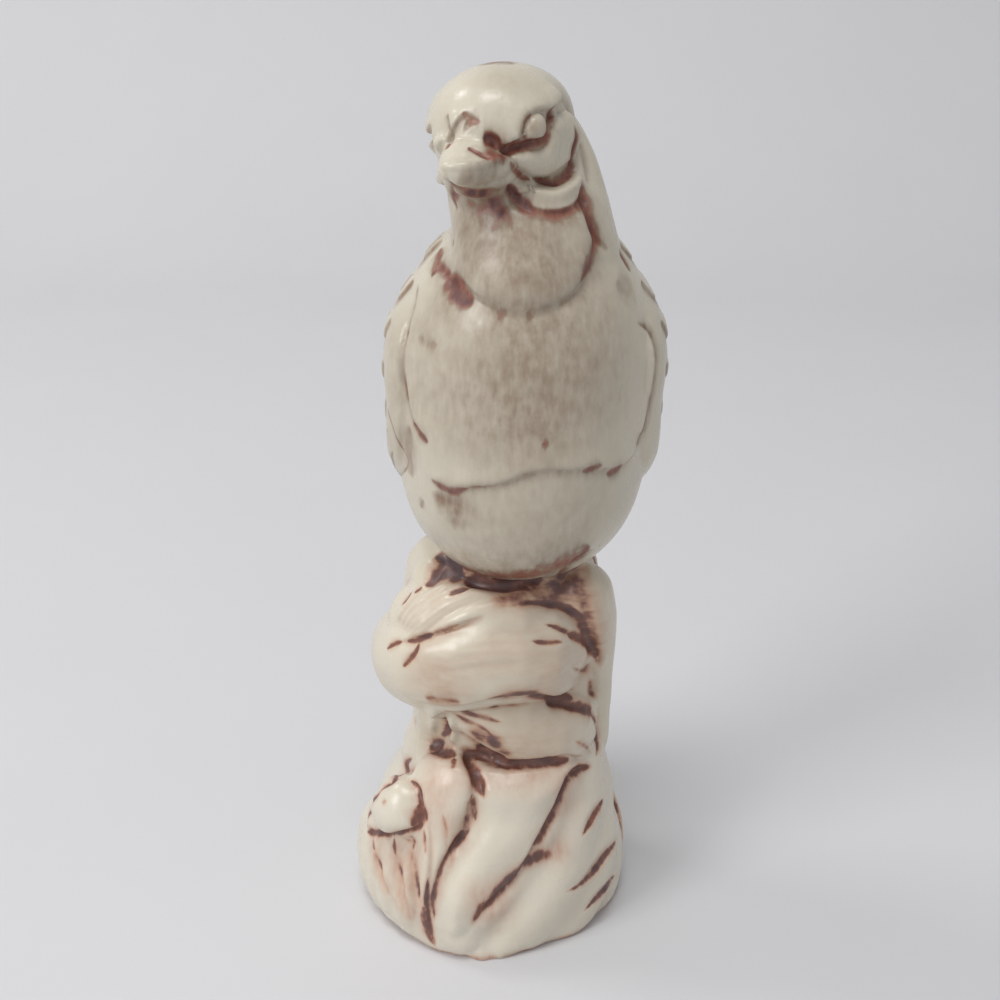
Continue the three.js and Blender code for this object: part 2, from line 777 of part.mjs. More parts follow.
// Ruff: a feather roll that sweeps under the cheek
function ruffSkin(side) {
  const stops = [
    [-17, 0.3],
    [-5, 0.205],
    [14, 0.155],
    [36, 0.18],
    [50, 0.29],
  ];
  const mirror = HEAD_TURN - degrees(8);
  const place = (azimuth) => (side > 0 ? azimuth : 2 * mirror - azimuth);
  return roll({
    path: new THREE.CatmullRomCurve3(stops.map(([at, level]) => neckPoint(place(degrees(at)), level, 0.1 * RUFF_WIDTH))),
    around: 12,
    along: 14,
    widthAt: (share) => RUFF_WIDTH * (0.6 + 0.45 * Math.sin(Math.PI * share)),
    depthAt: () => RUFF_WIDTH * 0.62,
    faceAt: (p) => outwards(Math.atan2(p.x - BODY_SHIFT, -p.y)),
  });
}

// Wings: folded on the flanks, three rows of feathers
const wingTop = bodyMiddle + BODY_HEIGHT * 0.36;
const wingLead = [
  [0, 88],
  [0.07, 74],
  [0.18, 67],
  [0.45, 67],
  [0.65, 76],
  [0.85, 108],
  [1, 146],
];
const wingTrail = [
  [0, 104],
  [0.07, 128],
  [0.18, 146],
  [0.45, 163],
  [0.8, 168],
  [1, 166],
];

function wingSkin(side) {
  return slab(10, 14, (u, v, depth) => {
    const down = (1 - v) / 2;
    const across = (u * side + 1) / 2;
    const lead = along(wingLead, down);
    const trail = along(wingTrail, down);
    const azimuth = degrees(lead + (trail - lead) * across) * side;
    const lift = 0.05 * Math.sin(Math.PI * across) * (1 - down);
    const z = wingTop - WING_LENGTH * (down - lift);
    const covert = 0.36 + 0.05 * Math.abs(Math.sin(Math.PI * 2 * across));
    const rows = smoothStep(covert + 0.03, covert - 0.03, down) + 0.7 * smoothStep(0.68, 0.62, down);
    const vane = 0.65 * Math.abs(Math.sin(Math.PI * FEATHER_COUNT * across)) * smoothStep(0.34, 0.5, down);
    const edge = Math.min(1, 0.6 + 3 * Math.min(across, 1 - across, 1 - down)) * smoothStep(0, 0.24, down);
    const proud = edge * (WING_PROUD + FEATHER_STEP * rows) + FEATHER_STEP * (vane - 0.6);
    return bodyPoint(azimuth, z, depth > 0 ? proud : -WING_SEAT);
  });
}

// Tail: long feathers that leave the back and lie down the trunk
const tailTop = bodyMiddle - BODY_HEIGHT * 0.06;
const tailLine = [
  [0, -0.25],
  [0.1, 0.75],
  [0.25, 1.05],
  [0.45, 0.75],
  [1, 0.45],
];

function tailSkin() {
  const backline = TRUNK_SHIFT_Y + halfDeep;
  return slab(10, 12, (u, v, depth) => {
    const down = (1 - v) / 2;
    const z = tailTop - TAIL_LENGTH * down * (1 - 0.08 * u * u);
    const halfWidth = TAIL_WIDTH * (0.5 - 0.2 * down);
    const quills = 0.15 * Math.abs(Math.sin(Math.PI * 2.5 * (u + 1)));
    const crown = 0.55 - 0.45 * u * u + quills;
    const y = backline + TAIL_THICKNESS * (along(tailLine, down) + (depth > 0 ? crown : -1.4));
    return new THREE.Vector3(0.8 * BODY_SHIFT - u * halfWidth, y, z);
  });
}

const group = new THREE.Group();

function add(name, geometry, colour, roughness = 0.18) {
  const material = new THREE.MeshStandardMaterial({ color: colour, roughness, metalness: 0 });
  const mesh = new THREE.Mesh(geometry, material);
  mesh.name = name;
  group.add(mesh);
}

const ivory = 0xd2ccc0;
const ivoryShade = 0xb9ad9c;
const tanWash = 0xc4a68f;

add("root_plinth", plinth(), ivory);
const bark = barkSkin();
const tongue = tongueSkin();
const bud = budSkin();
add("root_tongue", seated(tongue, [plinthSkin, trunkSkin, lowerCoilSkin]), ivory);
add("bark_flutes", seated(bark, [plinthSkin, tongue]), tanWash);
add("bud", seated(bud, [plinthSkin, bark, tongue]), ivory);
add("trunk", seated(trunkSkin, [plinthSkin, bodySkin]), ivoryShade);
add("side_root", seated(sideRootSkin, [plinthSkin, trunkSkin, bodySkin]), ivory);
add("lower_coil", seated(lowerCoilSkin, [plinthSkin, trunkSkin, sideRootSkin]), ivory);
add("main_coil", seated(mainCoilSkin, [trunkSkin, sideRootSkin, lowerCoilSkin]), ivory);
add("top_coil", seated(topCoilSkin, [trunkSkin, sideRootSkin, mainCoilSkin, bodySkin]), ivory);
add("body", bodySkin, ivory);
add("neck", seated(neckSkin, [bodySkin, headSkin]), ivory);
add("head", seated(headSkin, [bodySkin]), ivory);
add("beak_upper", seated(upperBeakSkin, [headSkin]), ivory);
add("beak_lower", seated(lowerBeakSkin, [headSkin, upperBeakSkin, neckSkin]), tanWash);
const wings = [];
for (const [side, label] of [[1, "left"], [-1, "right"]]) {
  const cheek = cheekSkin(side);
  const wing = wingSkin(side);
  wings.push(wing);
  add(`eye_${label}`, seated(eyeSkin(side), [headSkin, neckSkin, cheek]), ivory);
  add(`cheek_${label}`, seated(cheek, [headSkin, neckSkin, upperBeakSkin, lowerBeakSkin]), ivory);
  add(`ruff_${label}`, seated(ruffSkin(side), [headSkin, neckSkin, cheek, lowerBeakSkin, upperBeakSkin]), ivory);
  add(`wing_${label}`, seated(wing, [bodySkin, neckSkin]), ivory);
}
add("tail", seated(tailSkin(), [bodySkin, trunkSkin, ...wings]), ivory);
add("curl_outer", seated(curlSkin(-0.67, 0.95 * CURL_LENGTH), [mainCoilSkin, lowerCoilSkin, trunkSkin, tongue]), ivory);
add("curl_inner", seated(curlSkin(-0.47, 1.05 * CURL_LENGTH), [mainCoilSkin, lowerCoilSkin, trunkSkin, tongue]), ivory);

export default group;
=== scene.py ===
# A glazed earthenware songbird perched on a stump of coiled roots, dressed over its fixed frame.
from math import cos, pi, radians, sin

import bmesh
import bpy
import numpy as np
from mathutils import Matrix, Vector
from mathutils.bvhtree import BVHTree
from mathutils.kdtree import KDTree


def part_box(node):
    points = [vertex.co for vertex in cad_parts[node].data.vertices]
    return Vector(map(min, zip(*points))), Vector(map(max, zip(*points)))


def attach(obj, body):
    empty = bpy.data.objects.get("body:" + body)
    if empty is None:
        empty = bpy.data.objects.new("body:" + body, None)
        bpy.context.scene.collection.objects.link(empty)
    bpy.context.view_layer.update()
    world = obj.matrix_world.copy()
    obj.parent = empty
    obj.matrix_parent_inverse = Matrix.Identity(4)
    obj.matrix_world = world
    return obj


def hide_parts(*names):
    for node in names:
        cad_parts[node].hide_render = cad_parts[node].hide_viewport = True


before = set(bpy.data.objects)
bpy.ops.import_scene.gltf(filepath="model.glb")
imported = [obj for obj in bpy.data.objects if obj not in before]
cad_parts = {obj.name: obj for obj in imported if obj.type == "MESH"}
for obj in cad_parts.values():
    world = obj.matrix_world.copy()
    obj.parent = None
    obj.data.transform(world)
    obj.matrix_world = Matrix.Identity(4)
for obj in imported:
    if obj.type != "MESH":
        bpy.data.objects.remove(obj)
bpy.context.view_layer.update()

MM = 0.001

# The photograph's view: where the camera stands and what one pixel is worth.
PICTURE_WIDTH = 1000
PICTURE_CENTRE = 500
FOCAL_PIXELS = 1374
SENSOR_WIDTH = 36
CAMERA_DISTANCE = 300 * MM
CAMERA_ELEVATION = radians(25)
AIM = Vector((0, 0, 103 * MM))
RIGHTWARD = Vector((1, 0, 0))
FORWARD = Vector((0, cos(CAMERA_ELEVATION), -sin(CAMERA_ELEVATION)))
UPWARD = Vector((0, sin(CAMERA_ELEVATION), cos(CAMERA_ELEVATION)))
EYE_POINT = AIM - FORWARD * CAMERA_DISTANCE

# The card sheet: its size, where it starts to bend up, how tightly, and in how many steps.
CARD_HALF_WIDTH = 4
CARD_HALF_DEPTH = 2
BEND_START = 0.5
BEND_RADIUS = 0.3
BEND_STEPS = 16
WALL_HEIGHT = 2.5
ROOM_LIGHT = 0.54

# The cast skin: one clay surface over all the forms, parted into its pieces at the end.
MERGE_WITHIN = 0.001 * MM
FIT_GAP = 0.3 * MM
GAP_SHARE = 0.7
SKIN_GRAIN = 0.48 * MM
CAST_WALL = 1.2 * MM
SCREED_HEIGHT = 1.0 * MM
FACES_DOWN = -0.8
FIRM_RUB = 0.62
CREASE_SOFTNESS = 0.35 * MM
CREASE_EASING = 0.55
FOOT_SOFTNESS = 0.3
INSIDE_DETAIL = 0.6
TOO_SHARP = 0.4
CLEAR_OF_SKIN = 0.2
NARROWEST = 1e-12

# How far cuts and their stain and painted shade reach, in widths of the cut, and what counts as beside a
# line.
STROKE_REACH = 4.8
STROKE_STAIN_AND_SHADE = 1.4
STROKE_FILM_AND_SHADE = 1.7
FOLD_REACH = 5.4
FOLD_FILM_AND_SHADE = 1.6
FOLD_SPACING = 0.7 * MM
BLEED_REACH = 3.4
STAIN_AND_SHADE_HOLD = 2.5
THICKEST_FILM_AND_SHADE = 0.78
SURFACE_ONLY = 0.85
SAME_FACING = 0.3

# The hollows that hold the rubbed-on stain: width, depths where it starts and is full, and strength.
HOLLOWS = ((1.2, 0.07, 0.5, 0.95), (3.2, 0.2, 1.2, 0.8))

NAMES = sorted(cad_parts)
FOOT = len(NAMES)
FACE_FORMS = ("eye_left", "eye_right", "cheek_left", "cheek_right", "ruff_left", "ruff_right")
FINE_FORMS = ("head", "beak_upper", "beak_lower") + FACE_FORMS
CURLS = ("curl_outer", "curl_inner")
CARVED_FORMS = FACE_FORMS + CURLS
COILS = ("main_coil", "lower_coil", "top_coil", "trunk", "side_root") + CURLS
ROOTS = ("root_plinth", "root_tongue", "bark_flutes", "bud")

# How far each form's facets are rubbed smooth, in millimetres of clay.
SOFTNESS = dict.fromkeys(NAMES, 0.6) | {
    "body": 2.6, "neck": 2.2, "head": 1.2, "wing_left": 1.4, "wing_right": 1.4, "tail": 1.2, "trunk": 1.3,
    "root_plinth": 2.0, "side_root": 1.3, "main_coil": 1.2, "lower_coil": 1.2, "top_coil": 1.1, "bud": 1.0,
    "root_tongue": 0.8, "bark_flutes": 0.7, "beak_upper": 0.9, "beak_lower": 0.9, "eye_left": 0.35,
    "eye_right": 0.35, "curl_outer": 0.4, "curl_inner": 0.4,
}


def joined_forms():
    """Every form in one mesh, each face marked with the form that it belongs to."""
    joined = bmesh.new()
    for index, name in enumerate(NAMES):
        first = len(joined.faces)
        joined.from_mesh(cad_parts[name].data)
        joined.faces.ensure_lookup_table()
        for face in joined.faces[first:]:
            face.material_index = index
    bmesh.ops.remove_doubles(joined, verts=joined.verts, dist=MERGE_WITHIN)
    joined.normal_update()
    return joined


def fused_skin(joined):
    """One closed skin over the forms, with their fitting gaps closed."""
    swollen = joined.copy()
    carved = {NAMES.index(name) for name in CARVED_FORMS}
    spare = [face for face in swollen.faces if face.material_index in carved]
    bmesh.ops.delete(swollen, geom=spare, context="FACES")
    swollen.normal_update()
    for corner in swollen.verts:
        corner.co += corner.normal * FIT_GAP * GAP_SHARE
    mesh = bpy.data.meshes.new("clay")
    swollen.to_mesh(mesh)
    swollen.free()
    clay = placed("clay", mesh)
    remesh = clay.modifiers.new("one skin", "REMESH")
    remesh.mode = "VOXEL"
    remesh.voxel_size = SKIN_GRAIN
    remesh.use_smooth_shade = True
    fused = bpy.data.meshes.new_from_object(clay.evaluated_get(bpy.context.evaluated_depsgraph_get()))
    bpy.data.objects.remove(clay)
    return fused


def placed(name, data, place=(0, 0, 0), turn=(0, 0, 0)):
    """A new object in the scene."""
    made = bpy.data.objects.new(name, data)
    made.location = place
    made.rotation_euler = turn
    bpy.context.collection.objects.link(made)
    return made


def read(rows, field, width=1, kind=float):
    """One value, or several, of each row of a mesh's data."""
    values = np.empty(len(rows) * width, kind)
    rows.foreach_get(field, values)
    return values.reshape(-1, width) if width > 1 else values


def rounds_over(width):
    """How many rounds of averaging spread a point over a width on the skin's grain."""
    return max(1, int((width / SKIN_GRAIN) ** 2))


def smoothstep(low, high, values):
    t = np.clip((values - low) / (high - low), 0, 1)
    return t * t * (3 - 2 * t)


class Skin:
    """The fused skin as points that are rubbed, cut and stained before it is parted into pieces."""

    def __init__(self, joined):
        self.mesh = fused_skin(joined)
        self.mark_owners(joined)
        self.read_points()
        self.rub(self.softness())
        self.refine()
        self.read_points()
        self.stain = np.zeros(len(self.points))
        self.wash = np.zeros(len(self.points))
        self.settle()

    def mark_owners(self, joined):
        """Marks each face with its nearest form, and the underside as the foot."""
        tree = BVHTree.FromBMesh(joined)
        owner = [face.material_index for face in joined.faces]
        for face in self.mesh.polygons:
            face.material_index = owner[tree.find_nearest(face.center)[2]]
            if face.center.z < SCREED_HEIGHT and face.normal.z < FACES_DOWN:
                face.material_index = FOOT

    def read_points(self):
        self.points = read(self.mesh.vertices, "co", 3)
        self.edges = read(self.mesh.edges, "vertices", 2, int)

    def rub(self, softness):
        """Moves each point towards its neighbours, over as many millimetres as its softness says."""
        most = softness.max()
        weight = FIRM_RUB * (softness / most) ** 2
        self.points = self.averaged(self.points, weight[:, None], rounds_over(most) * 2)

    def averaged(self, values, weight, rounds):
        a, b = self.edges.T
        count = len(values)
        degree = np.bincount(self.edges.ravel(), minlength=count)[:, None]
        values = values.copy()
        for _ in range(rounds):
            near = [
                np.bincount(a, values[b, k], count) + np.bincount(b, values[a, k], count)
                for k in range(values.shape[1])
            ]
            values += weight * (np.stack(near, 1) / degree - values)
        return values

    def softness(self):
        """The millimetres that each point is rubbed over: less near the creases between the forms."""
        corners = read(self.mesh.loops, "vertex_index", 1, int)
        faces = self.mesh.polygons
        owner = np.repeat(read(faces, "material_index", 1, int), read(faces, "loop_total", 1, int))
        low = np.full(len(self.points), FOOT)
        high = np.zeros(len(self.points), int)
        np.minimum.at(low, corners, owner)
        np.maximum.at(high, corners, owner)
        seam = np.flatnonzero(low != high)
        creases = KDTree(len(seam))
        for place, index in enumerate(seam):
            creases.insert(self.points[index], place)
        creases.balance()
        distance = np.array([creases.find(point)[2] for point in self.points])
        soft = np.array([SOFTNESS[name] for name in NAMES] + [FOOT_SOFTNESS])[low] * MM
        return np.minimum(soft, CREASE_SOFTNESS + distance * CREASE_EASING)

    def refine(self):
        """Halves the skin's grain over the head, whose features are the smallest."""
        self.mesh.vertices.foreach_set("co", self.points.ravel())
        fine = {NAMES.index(name) for name in FINE_FORMS}
        whole = bmesh.new()
        whole.from_mesh(self.mesh)
        edges = {edge for face in whole.faces if face.material_index in fine for edge in face.edges}
        bmesh.ops.subdivide_edges(whole, edges=list(edges), cuts=1, use_grid_fill=True)
        whole.to_mesh(self.mesh)
        whole.free()

    def redraw(self):
        """Puts the points into the mesh, and reads its normals."""
        self.mesh.vertices.foreach_set("co", self.points.ravel())
        self.mesh.update()
        self.normals = read(self.mesh.vertex_normals, "vector", 3)

    def settle(self):
        """Redraws the mesh, and makes a tree for finding places on it."""
        self.redraw()
        faces = [tuple(face.vertices) for face in self.mesh.polygons]
        self.tree = BVHTree.FromPolygons(self.points.tolist(), faces)

    def seen(self, x, y):
        """The place on the skin under a pixel of the photograph, or the nearest one beside it."""
        aside = RIGHTWARD * (x - PICTURE_CENTRE) - UPWARD * (y - PICTURE_CENTRE)
        ray = (FORWARD * FOCAL_PIXELS + aside).normalized()
        found = self.tree.ray_cast(EYE_POINT, ray)[0]
        return found or self.tree.find_nearest(EYE_POINT + ray * CAMERA_DISTANCE)[0]

    def around(self, turn, height):
        """The place on the skin at a height in millimetres, that many degrees round from the front."""
        out = Vector((sin(radians(turn)), -cos(radians(turn)), 0))
        start = out * CLEAR_OF_SKIN + Vector((0, 0, height * MM))
        return self.tree.ray_cast(start, -out)[0]

    def near_line(self, places, reach, spacing):
        """The points near a smooth line that face as it does: which, how far off over the surface, how far
        along, on which side, and how much they share its facing."""
        line = smooth_line(places, spacing)
        facing = np.array([self.tree.find_nearest(place)[1] for place in line])
        inside = np.all((self.points > line.min(0) - reach) & (self.points < line.max(0) + reach), 1)
        near = np.flatnonzero(inside)
        points, normals = self.points[near], self.normals[near]
        best = np.full(len(near), np.inf)
        along, side, shared = np.zeros((3, len(near)))
        for step, (start, run) in enumerate(zip(line, np.diff(line, axis=0))):
            offset = points - start
            share = np.clip(offset @ run / max(run @ run, NARROWEST), 0, 1)
            offset -= share[:, None] * run
            away = (offset ** 2).sum(1) - SURFACE_ONLY * (offset * normals).sum(1) ** 2
            closer = away < best
            best[closer] = away[closer]
            along[closer] = (step + share[closer]) / (len(line) - 1)
            side[closer] = np.sign((np.cross(normals[closer], run) * offset[closer]).sum(1))
            shared[closer] = smoothstep(-SAME_FACING, SAME_FACING, normals[closer] @ facing[step])
        close = best < reach ** 2
        return near[close], np.sqrt(np.maximum(best[close], 0)), along[close], side[close], shared[close]

    def colour_over(self, near, stain, wash):
        """Lays stain and film, which also carry painted shade, over the points, where there is less of them
        already.
        """
        self.stain[near] = np.maximum(self.stain[near], stain)
        self.wash[near] = np.maximum(self.wash[near], wash)

    def mist(self, place, radius, wash, stain=0.0):
        """Lays a soft round film, and some stain, on the skin about a place; some of these mists are
        painted shade.
        """
        away = ((self.points - place) ** 2).sum(1) / (radius * MM) ** 2
        near = np.flatnonzero(away < 6)
        cover = np.exp(-away[near])
        film_and_shade_level = np.minimum(self.wash[near], THICKEST_FILM_AND_SHADE)
        film_and_shade_level = THICKEST_FILM_AND_SHADE - (THICKEST_FILM_AND_SHADE - film_and_shade_level) * (1 - wash * cover)
        self.wash[near] = np.maximum(self.wash[near], film_and_shade_level)
        self.stain[near] = np.maximum(self.stain[near], stain * cover)

    def stroke(self, places, width, depth=0.0, stain=0.0, wash=0.0, taper=0.4):
        """Cuts a groove, or with a negative depth raises a ridge, along a line that ends in points."""
        spacing = max(0.6, 0.6 * width) * MM
        near, away, along, _, shared = self.near_line(places, STROKE_REACH * width * MM, spacing)
        fade = ends_fade(along, taper)
        across = away / (width * MM * (0.1 + 0.9 * fade))
        cut = depth * MM * np.exp(-across ** 2) * fade * shared
        self.points[near] -= self.normals[near] * cut[:, None]
        there = np.minimum(STAIN_AND_SHADE_HOLD * fade, 1) * shared
        tone = np.exp(-(across / STROKE_STAIN_AND_SHADE) ** 3) * there
        film_and_shade_level = np.exp(-(across / (STROKE_FILM_AND_SHADE * STROKE_STAIN_AND_SHADE)) ** 2) * there
        self.colour_over(near, stain * tone, max(wash, 0.7 * stain) * film_and_shade_level)

    def fold(self, places, rise, drop, width, stain=0.0, bleed=0.0, wash=0.0, taper=0.2, lip=0.5):
        """Lifts the clay on a line's left and sinks it on its right, where the stain stays and fades,
        partly as painted shade under the lifted side.
        """
        bleed = max(bleed, 0.5 * width) * MM
        reach = max(FOLD_REACH * width * MM, BLEED_REACH * bleed)
        near, away, along, side, shared = self.near_line(places, reach, FOLD_SPACING)
        fade = ends_fade(along, taper) * shared
        high = smoothstep(-lip * MM, lip * MM, away * side)
        raised = rise * np.exp(-((away / (2 * width * MM)) ** 2)) * high
        sunk = drop * np.exp(-((away / (width * MM)) ** 2)) * (1 - high)
        self.points[near] += self.normals[near] * ((raised - sunk) * MM * fade)[:, None]
        beyond = np.maximum(-away * side, 0) / (0.15 + 0.85 * fade)
        behind = np.exp(-((np.maximum(away * side, 0) / (0.45 * MM)) ** 2))
        tone = np.exp(-((beyond / bleed) ** 2)) * behind * np.minimum(STAIN_AND_SHADE_HOLD * fade, 1)
        film_and_shade_level = np.exp(-((beyond / (FOLD_FILM_AND_SHADE * bleed)) ** 2)) * behind * np.minimum(STAIN_AND_SHADE_HOLD * fade, 1)
        self.colour_over(near, stain * tone, max(wash, 0.8 * stain) * film_and_shade_level)

    def pad(self, places, rise, shoulder, stain=0.0, stain_width=0.5, edge=0.5):
        """Raises the skin inside a closed outline into a pillow that rounds over, or with a greater edge
        blends in, over the shoulder's width."""
        outline = smooth_line(places + places[:1])
        middle = outline.mean(0)
        spokes = outline - middle
        normal = np.cross(spokes, np.roll(spokes, -1, 0)).sum(0)
        normal /= np.linalg.norm(normal)
        span = np.abs(spokes).max() + 3 * MM
        near = np.flatnonzero(np.all(np.abs(self.points - middle) < span, 1))
        if (self.normals[near] @ normal).sum() < 0:
            normal = -normal
        near = near[self.normals[near] @ normal > 0.05]
        first = np.cross(normal, (0.3, 0.5, 0.8))
        first /= np.linalg.norm(first)
        axes = np.stack([first, np.cross(normal, first)], 1)
        flat = (self.points[near] - middle) @ axes
        rim = spokes @ axes
        ends = np.roll(rim, -1, 0)
        gap = np.full(len(near), np.inf)
        inside = np.zeros(len(near), bool)
        for start, end in zip(rim, ends):
            run = end - start
            share = np.clip(((flat - start) @ run) / max(run @ run, NARROWEST), 0, 1)
            gap = np.minimum(gap, np.linalg.norm(flat - start - share[:, None] * run, axis=1))
            crosses = (start[1] > flat[:, 1]) != (end[1] > flat[:, 1])
            climb = run[1] if abs(run[1]) > NARROWEST else NARROWEST
            inside ^= crosses & (flat[:, 0] < start[0] + (flat[:, 1] - start[1]) * run[0] / climb)
        share = np.clip(gap / (shoulder * MM), 0, 1)
        lift = np.where(inside, (1 - (1 - share) ** 2) ** edge, 0)
        self.points[near] += self.normals[near] * (rise * MM * lift)[:, None]
        tone = np.exp(-((gap / (stain_width * MM)) ** 2)) * np.where(inside, 0.4, 1)
        self.stain[near] = np.maximum(self.stain[near], stain * tone)
        wiped = inside & (gap > stain_width * MM)
        self.stain[near] = np.where(wiped, 0.3 * self.stain[near], self.stain[near])

    def ease(self, rounds=2):
        """Rubs the last cuts a little."""
        self.points = self.averaged(self.points, 0.5, rounds)
        self.redraw()

    def untangle(self):
        """Relaxes the places where deep cuts have creased the skin too sharply."""
        a, b = self.edges.T
        torn = (self.normals[a] * self.normals[b]).sum(1) < TOO_SHARP
        weight = np.zeros((len(self.points), 1))
        weight[a[torn]] = weight[b[torn]] = 1
        weight = np.clip(self.averaged(weight, 1.0, 4) * 4, 0, 1) * 0.6
        self.points = self.averaged(self.points, weight, 20)
        self.ease(1)

    def hollow_stain(self):
        """Lets the rubbed-on stain stay in the hollows, narrow and wide."""
        self.ease(1)
        for width, start, full, strength in HOLLOWS:
            level = self.averaged(self.points, 1.0, rounds_over(width * MM) * 2)
            sunk = ((level - self.points) * self.normals).sum(1) / MM
            self.stain = np.maximum(self.stain, strength * smoothstep(start, full, sunk))
            self.wash = np.maximum(self.wash, 0.8 * smoothstep(start * 0.2, full, sunk))

    def part(self):
        """Parts the skin into one piece for each form, each closed by the thickness of the cast wall."""
        self.points[:, 2] = np.maximum(self.points[:, 2], 0)
        self.settle()
        for name, values in (("stain", self.stain), ("wash", self.wash)):
            layer = self.mesh.attributes.new(name, "FLOAT", "POINT")
            layer.data.foreach_set("value", values)
        facing = self.mesh.attributes.new("facing", "FLOAT_VECTOR", "POINT")
        facing.data.foreach_set("vector", self.normals.ravel())
        for name in NAMES + ["bare_foot"]:
            self.mesh.materials.append(bpy.data.materials.new("part " + name))
        whole = placed("skin", self.mesh)
        for other in bpy.context.selected_objects:
            other.select_set(False)
        bpy.context.view_layer.objects.active = whole
        whole.select_set(True)
        bpy.ops.object.mode_set(mode="EDIT")
        bpy.ops.mesh.select_all(action="SELECT")
        bpy.ops.mesh.separate(type="MATERIAL")
        bpy.ops.object.mode_set(mode="OBJECT")
        pieces = {}
        for piece in list(bpy.context.selected_objects):
            name = piece.data.materials[0].name.removeprefix("part ")
            piece.name = "glazed_" + name if name != "bare_foot" else name
            pieces[name] = piece
            piece.select_set(False)
            wall(piece)
        return pieces


def wall(piece):
    """Gives the piece the cast wall's thickness, inwards, and keeps the whole skin's smooth shading."""
    inside = piece.vertex_groups.new(name="inside")
    thicken = piece.modifiers.new("cast wall", "SOLIDIFY")
    thicken.thickness = CAST_WALL
    thicken.offset = -1
    thicken.shell_vertex_group = inside.name
    thin = piece.modifiers.new("plain inside", "DECIMATE")
    thin.vertex_group = inside.name
    thin.ratio = INSIDE_DETAIL
    open_mesh = piece.data
    mesh = bpy.data.meshes.new_from_object(piece.evaluated_get(bpy.context.evaluated_depsgraph_get()))
    piece.modifiers.clear()
    piece.data = mesh
    bpy.data.meshes.remove(open_mesh)
    facing = read(mesh.attributes["facing"].data, "vector", 3)
    corners = read(mesh.loops, "vertex_index", 1, int)
    face_normal = read(mesh.polygons, "normal", 3)
    of_face = np.repeat(np.arange(len(mesh.polygons)), read(mesh.polygons, "loop_total", 1, int))
    outer = (face_normal[of_face] * facing[corners]).sum(1) > 0.2
    mesh.normals_split_custom_set(np.where(outer[:, None], facing[corners], 0).tolist())
    mesh.attributes.remove(mesh.attributes["facing"])


def smooth_line(places, spacing=0.5 * MM):
    """A smooth line through the places, as closely spaced points."""
    ends = [place for place in places if place is not None]
    knots = np.array([ends[0]] + ends + [ends[-1]])
    line = []
    for a, b, c, d in zip(knots, knots[1:], knots[2:], knots[3:]):
        steps = max(2, int(np.linalg.norm(c - b) / spacing))
        for t in np.linspace(0, 1, steps, endpoint=False):
            square = (2 * a - 5 * b + 4 * c - d) * t * t
            cube = (3 * b - a - 3 * c + d) * t ** 3
            line.append(0.5 * (2 * b + (c - a) * t + square + cube))
    line.append(knots[-1])
    return np.array(line)


def ends_fade(along, taper):
    """1 along a stroke's middle, falling off towards both its ends over a share of its length."""
    return smoothstep(0, 1, np.clip(np.minimum(along, 1 - along) / max(taper, 0.01) + 0.1, 0, 1))


def colour(code):
    """A hex colour as the linear values that Blender works in."""
    parts = [int(code[k:k + 2], 16) / 255 for k in (0, 2, 4)]
    return tuple(c / 12.92 if c < 0.04045 else ((c + 0.055) / 1.055) ** 2.4 for c in parts) + (1.0,)


def add(tree, kind, links=None, inputs=None, **settings):
    """Adds a node with its settings and values, linked from sockets or from nodes' first outputs in use."""
    made = tree.nodes.new("ShaderNode" + kind)
    for name, value in settings.items():
        setattr(made, name, value)
    for key, value in (inputs or {}).items():
        made.inputs[key].default_value = value
    for key, source in (links or {}).items():
        if isinstance(source, bpy.types.Node):
            source = next(socket for socket in source.outputs if socket.enabled)
        tree.links.new(source, made.inputs[key])
    return made


def new_material(name):
    """An empty material, its nodes, and the place on the piece that its patterns are laid out by."""
    made = bpy.data.materials.new(name)
    made.use_nodes = True
    made.node_tree.nodes.clear()
    return made, made.node_tree, add(made.node_tree, "TexCoord").outputs["Object"]


# How far the grain of the stain leans on the coils and on the roots.
COIL_LEAN = radians(12)
ROOT_LEAN = radians(-28)

# The two colour inputs of a Mix node.
FIRST = 6
SECOND = 7

# The stain's colours as it thickens, in its redder and its bluer parts, and where each starts and covers;
# the darkest is also painted shade in the deepest recesses.
BIRD_STAIN_AND_SHADE_TONES = (("92604F", "8F675C", 0.76, 1.15), ("693F36", "5D4345", 1.05, 1.7))
STUMP_STAIN_AND_SHADE_TONES = (("8A5A4A", "7C625E", 0.76, 1.15), ("64453D", "514349", 1.05, 1.7))


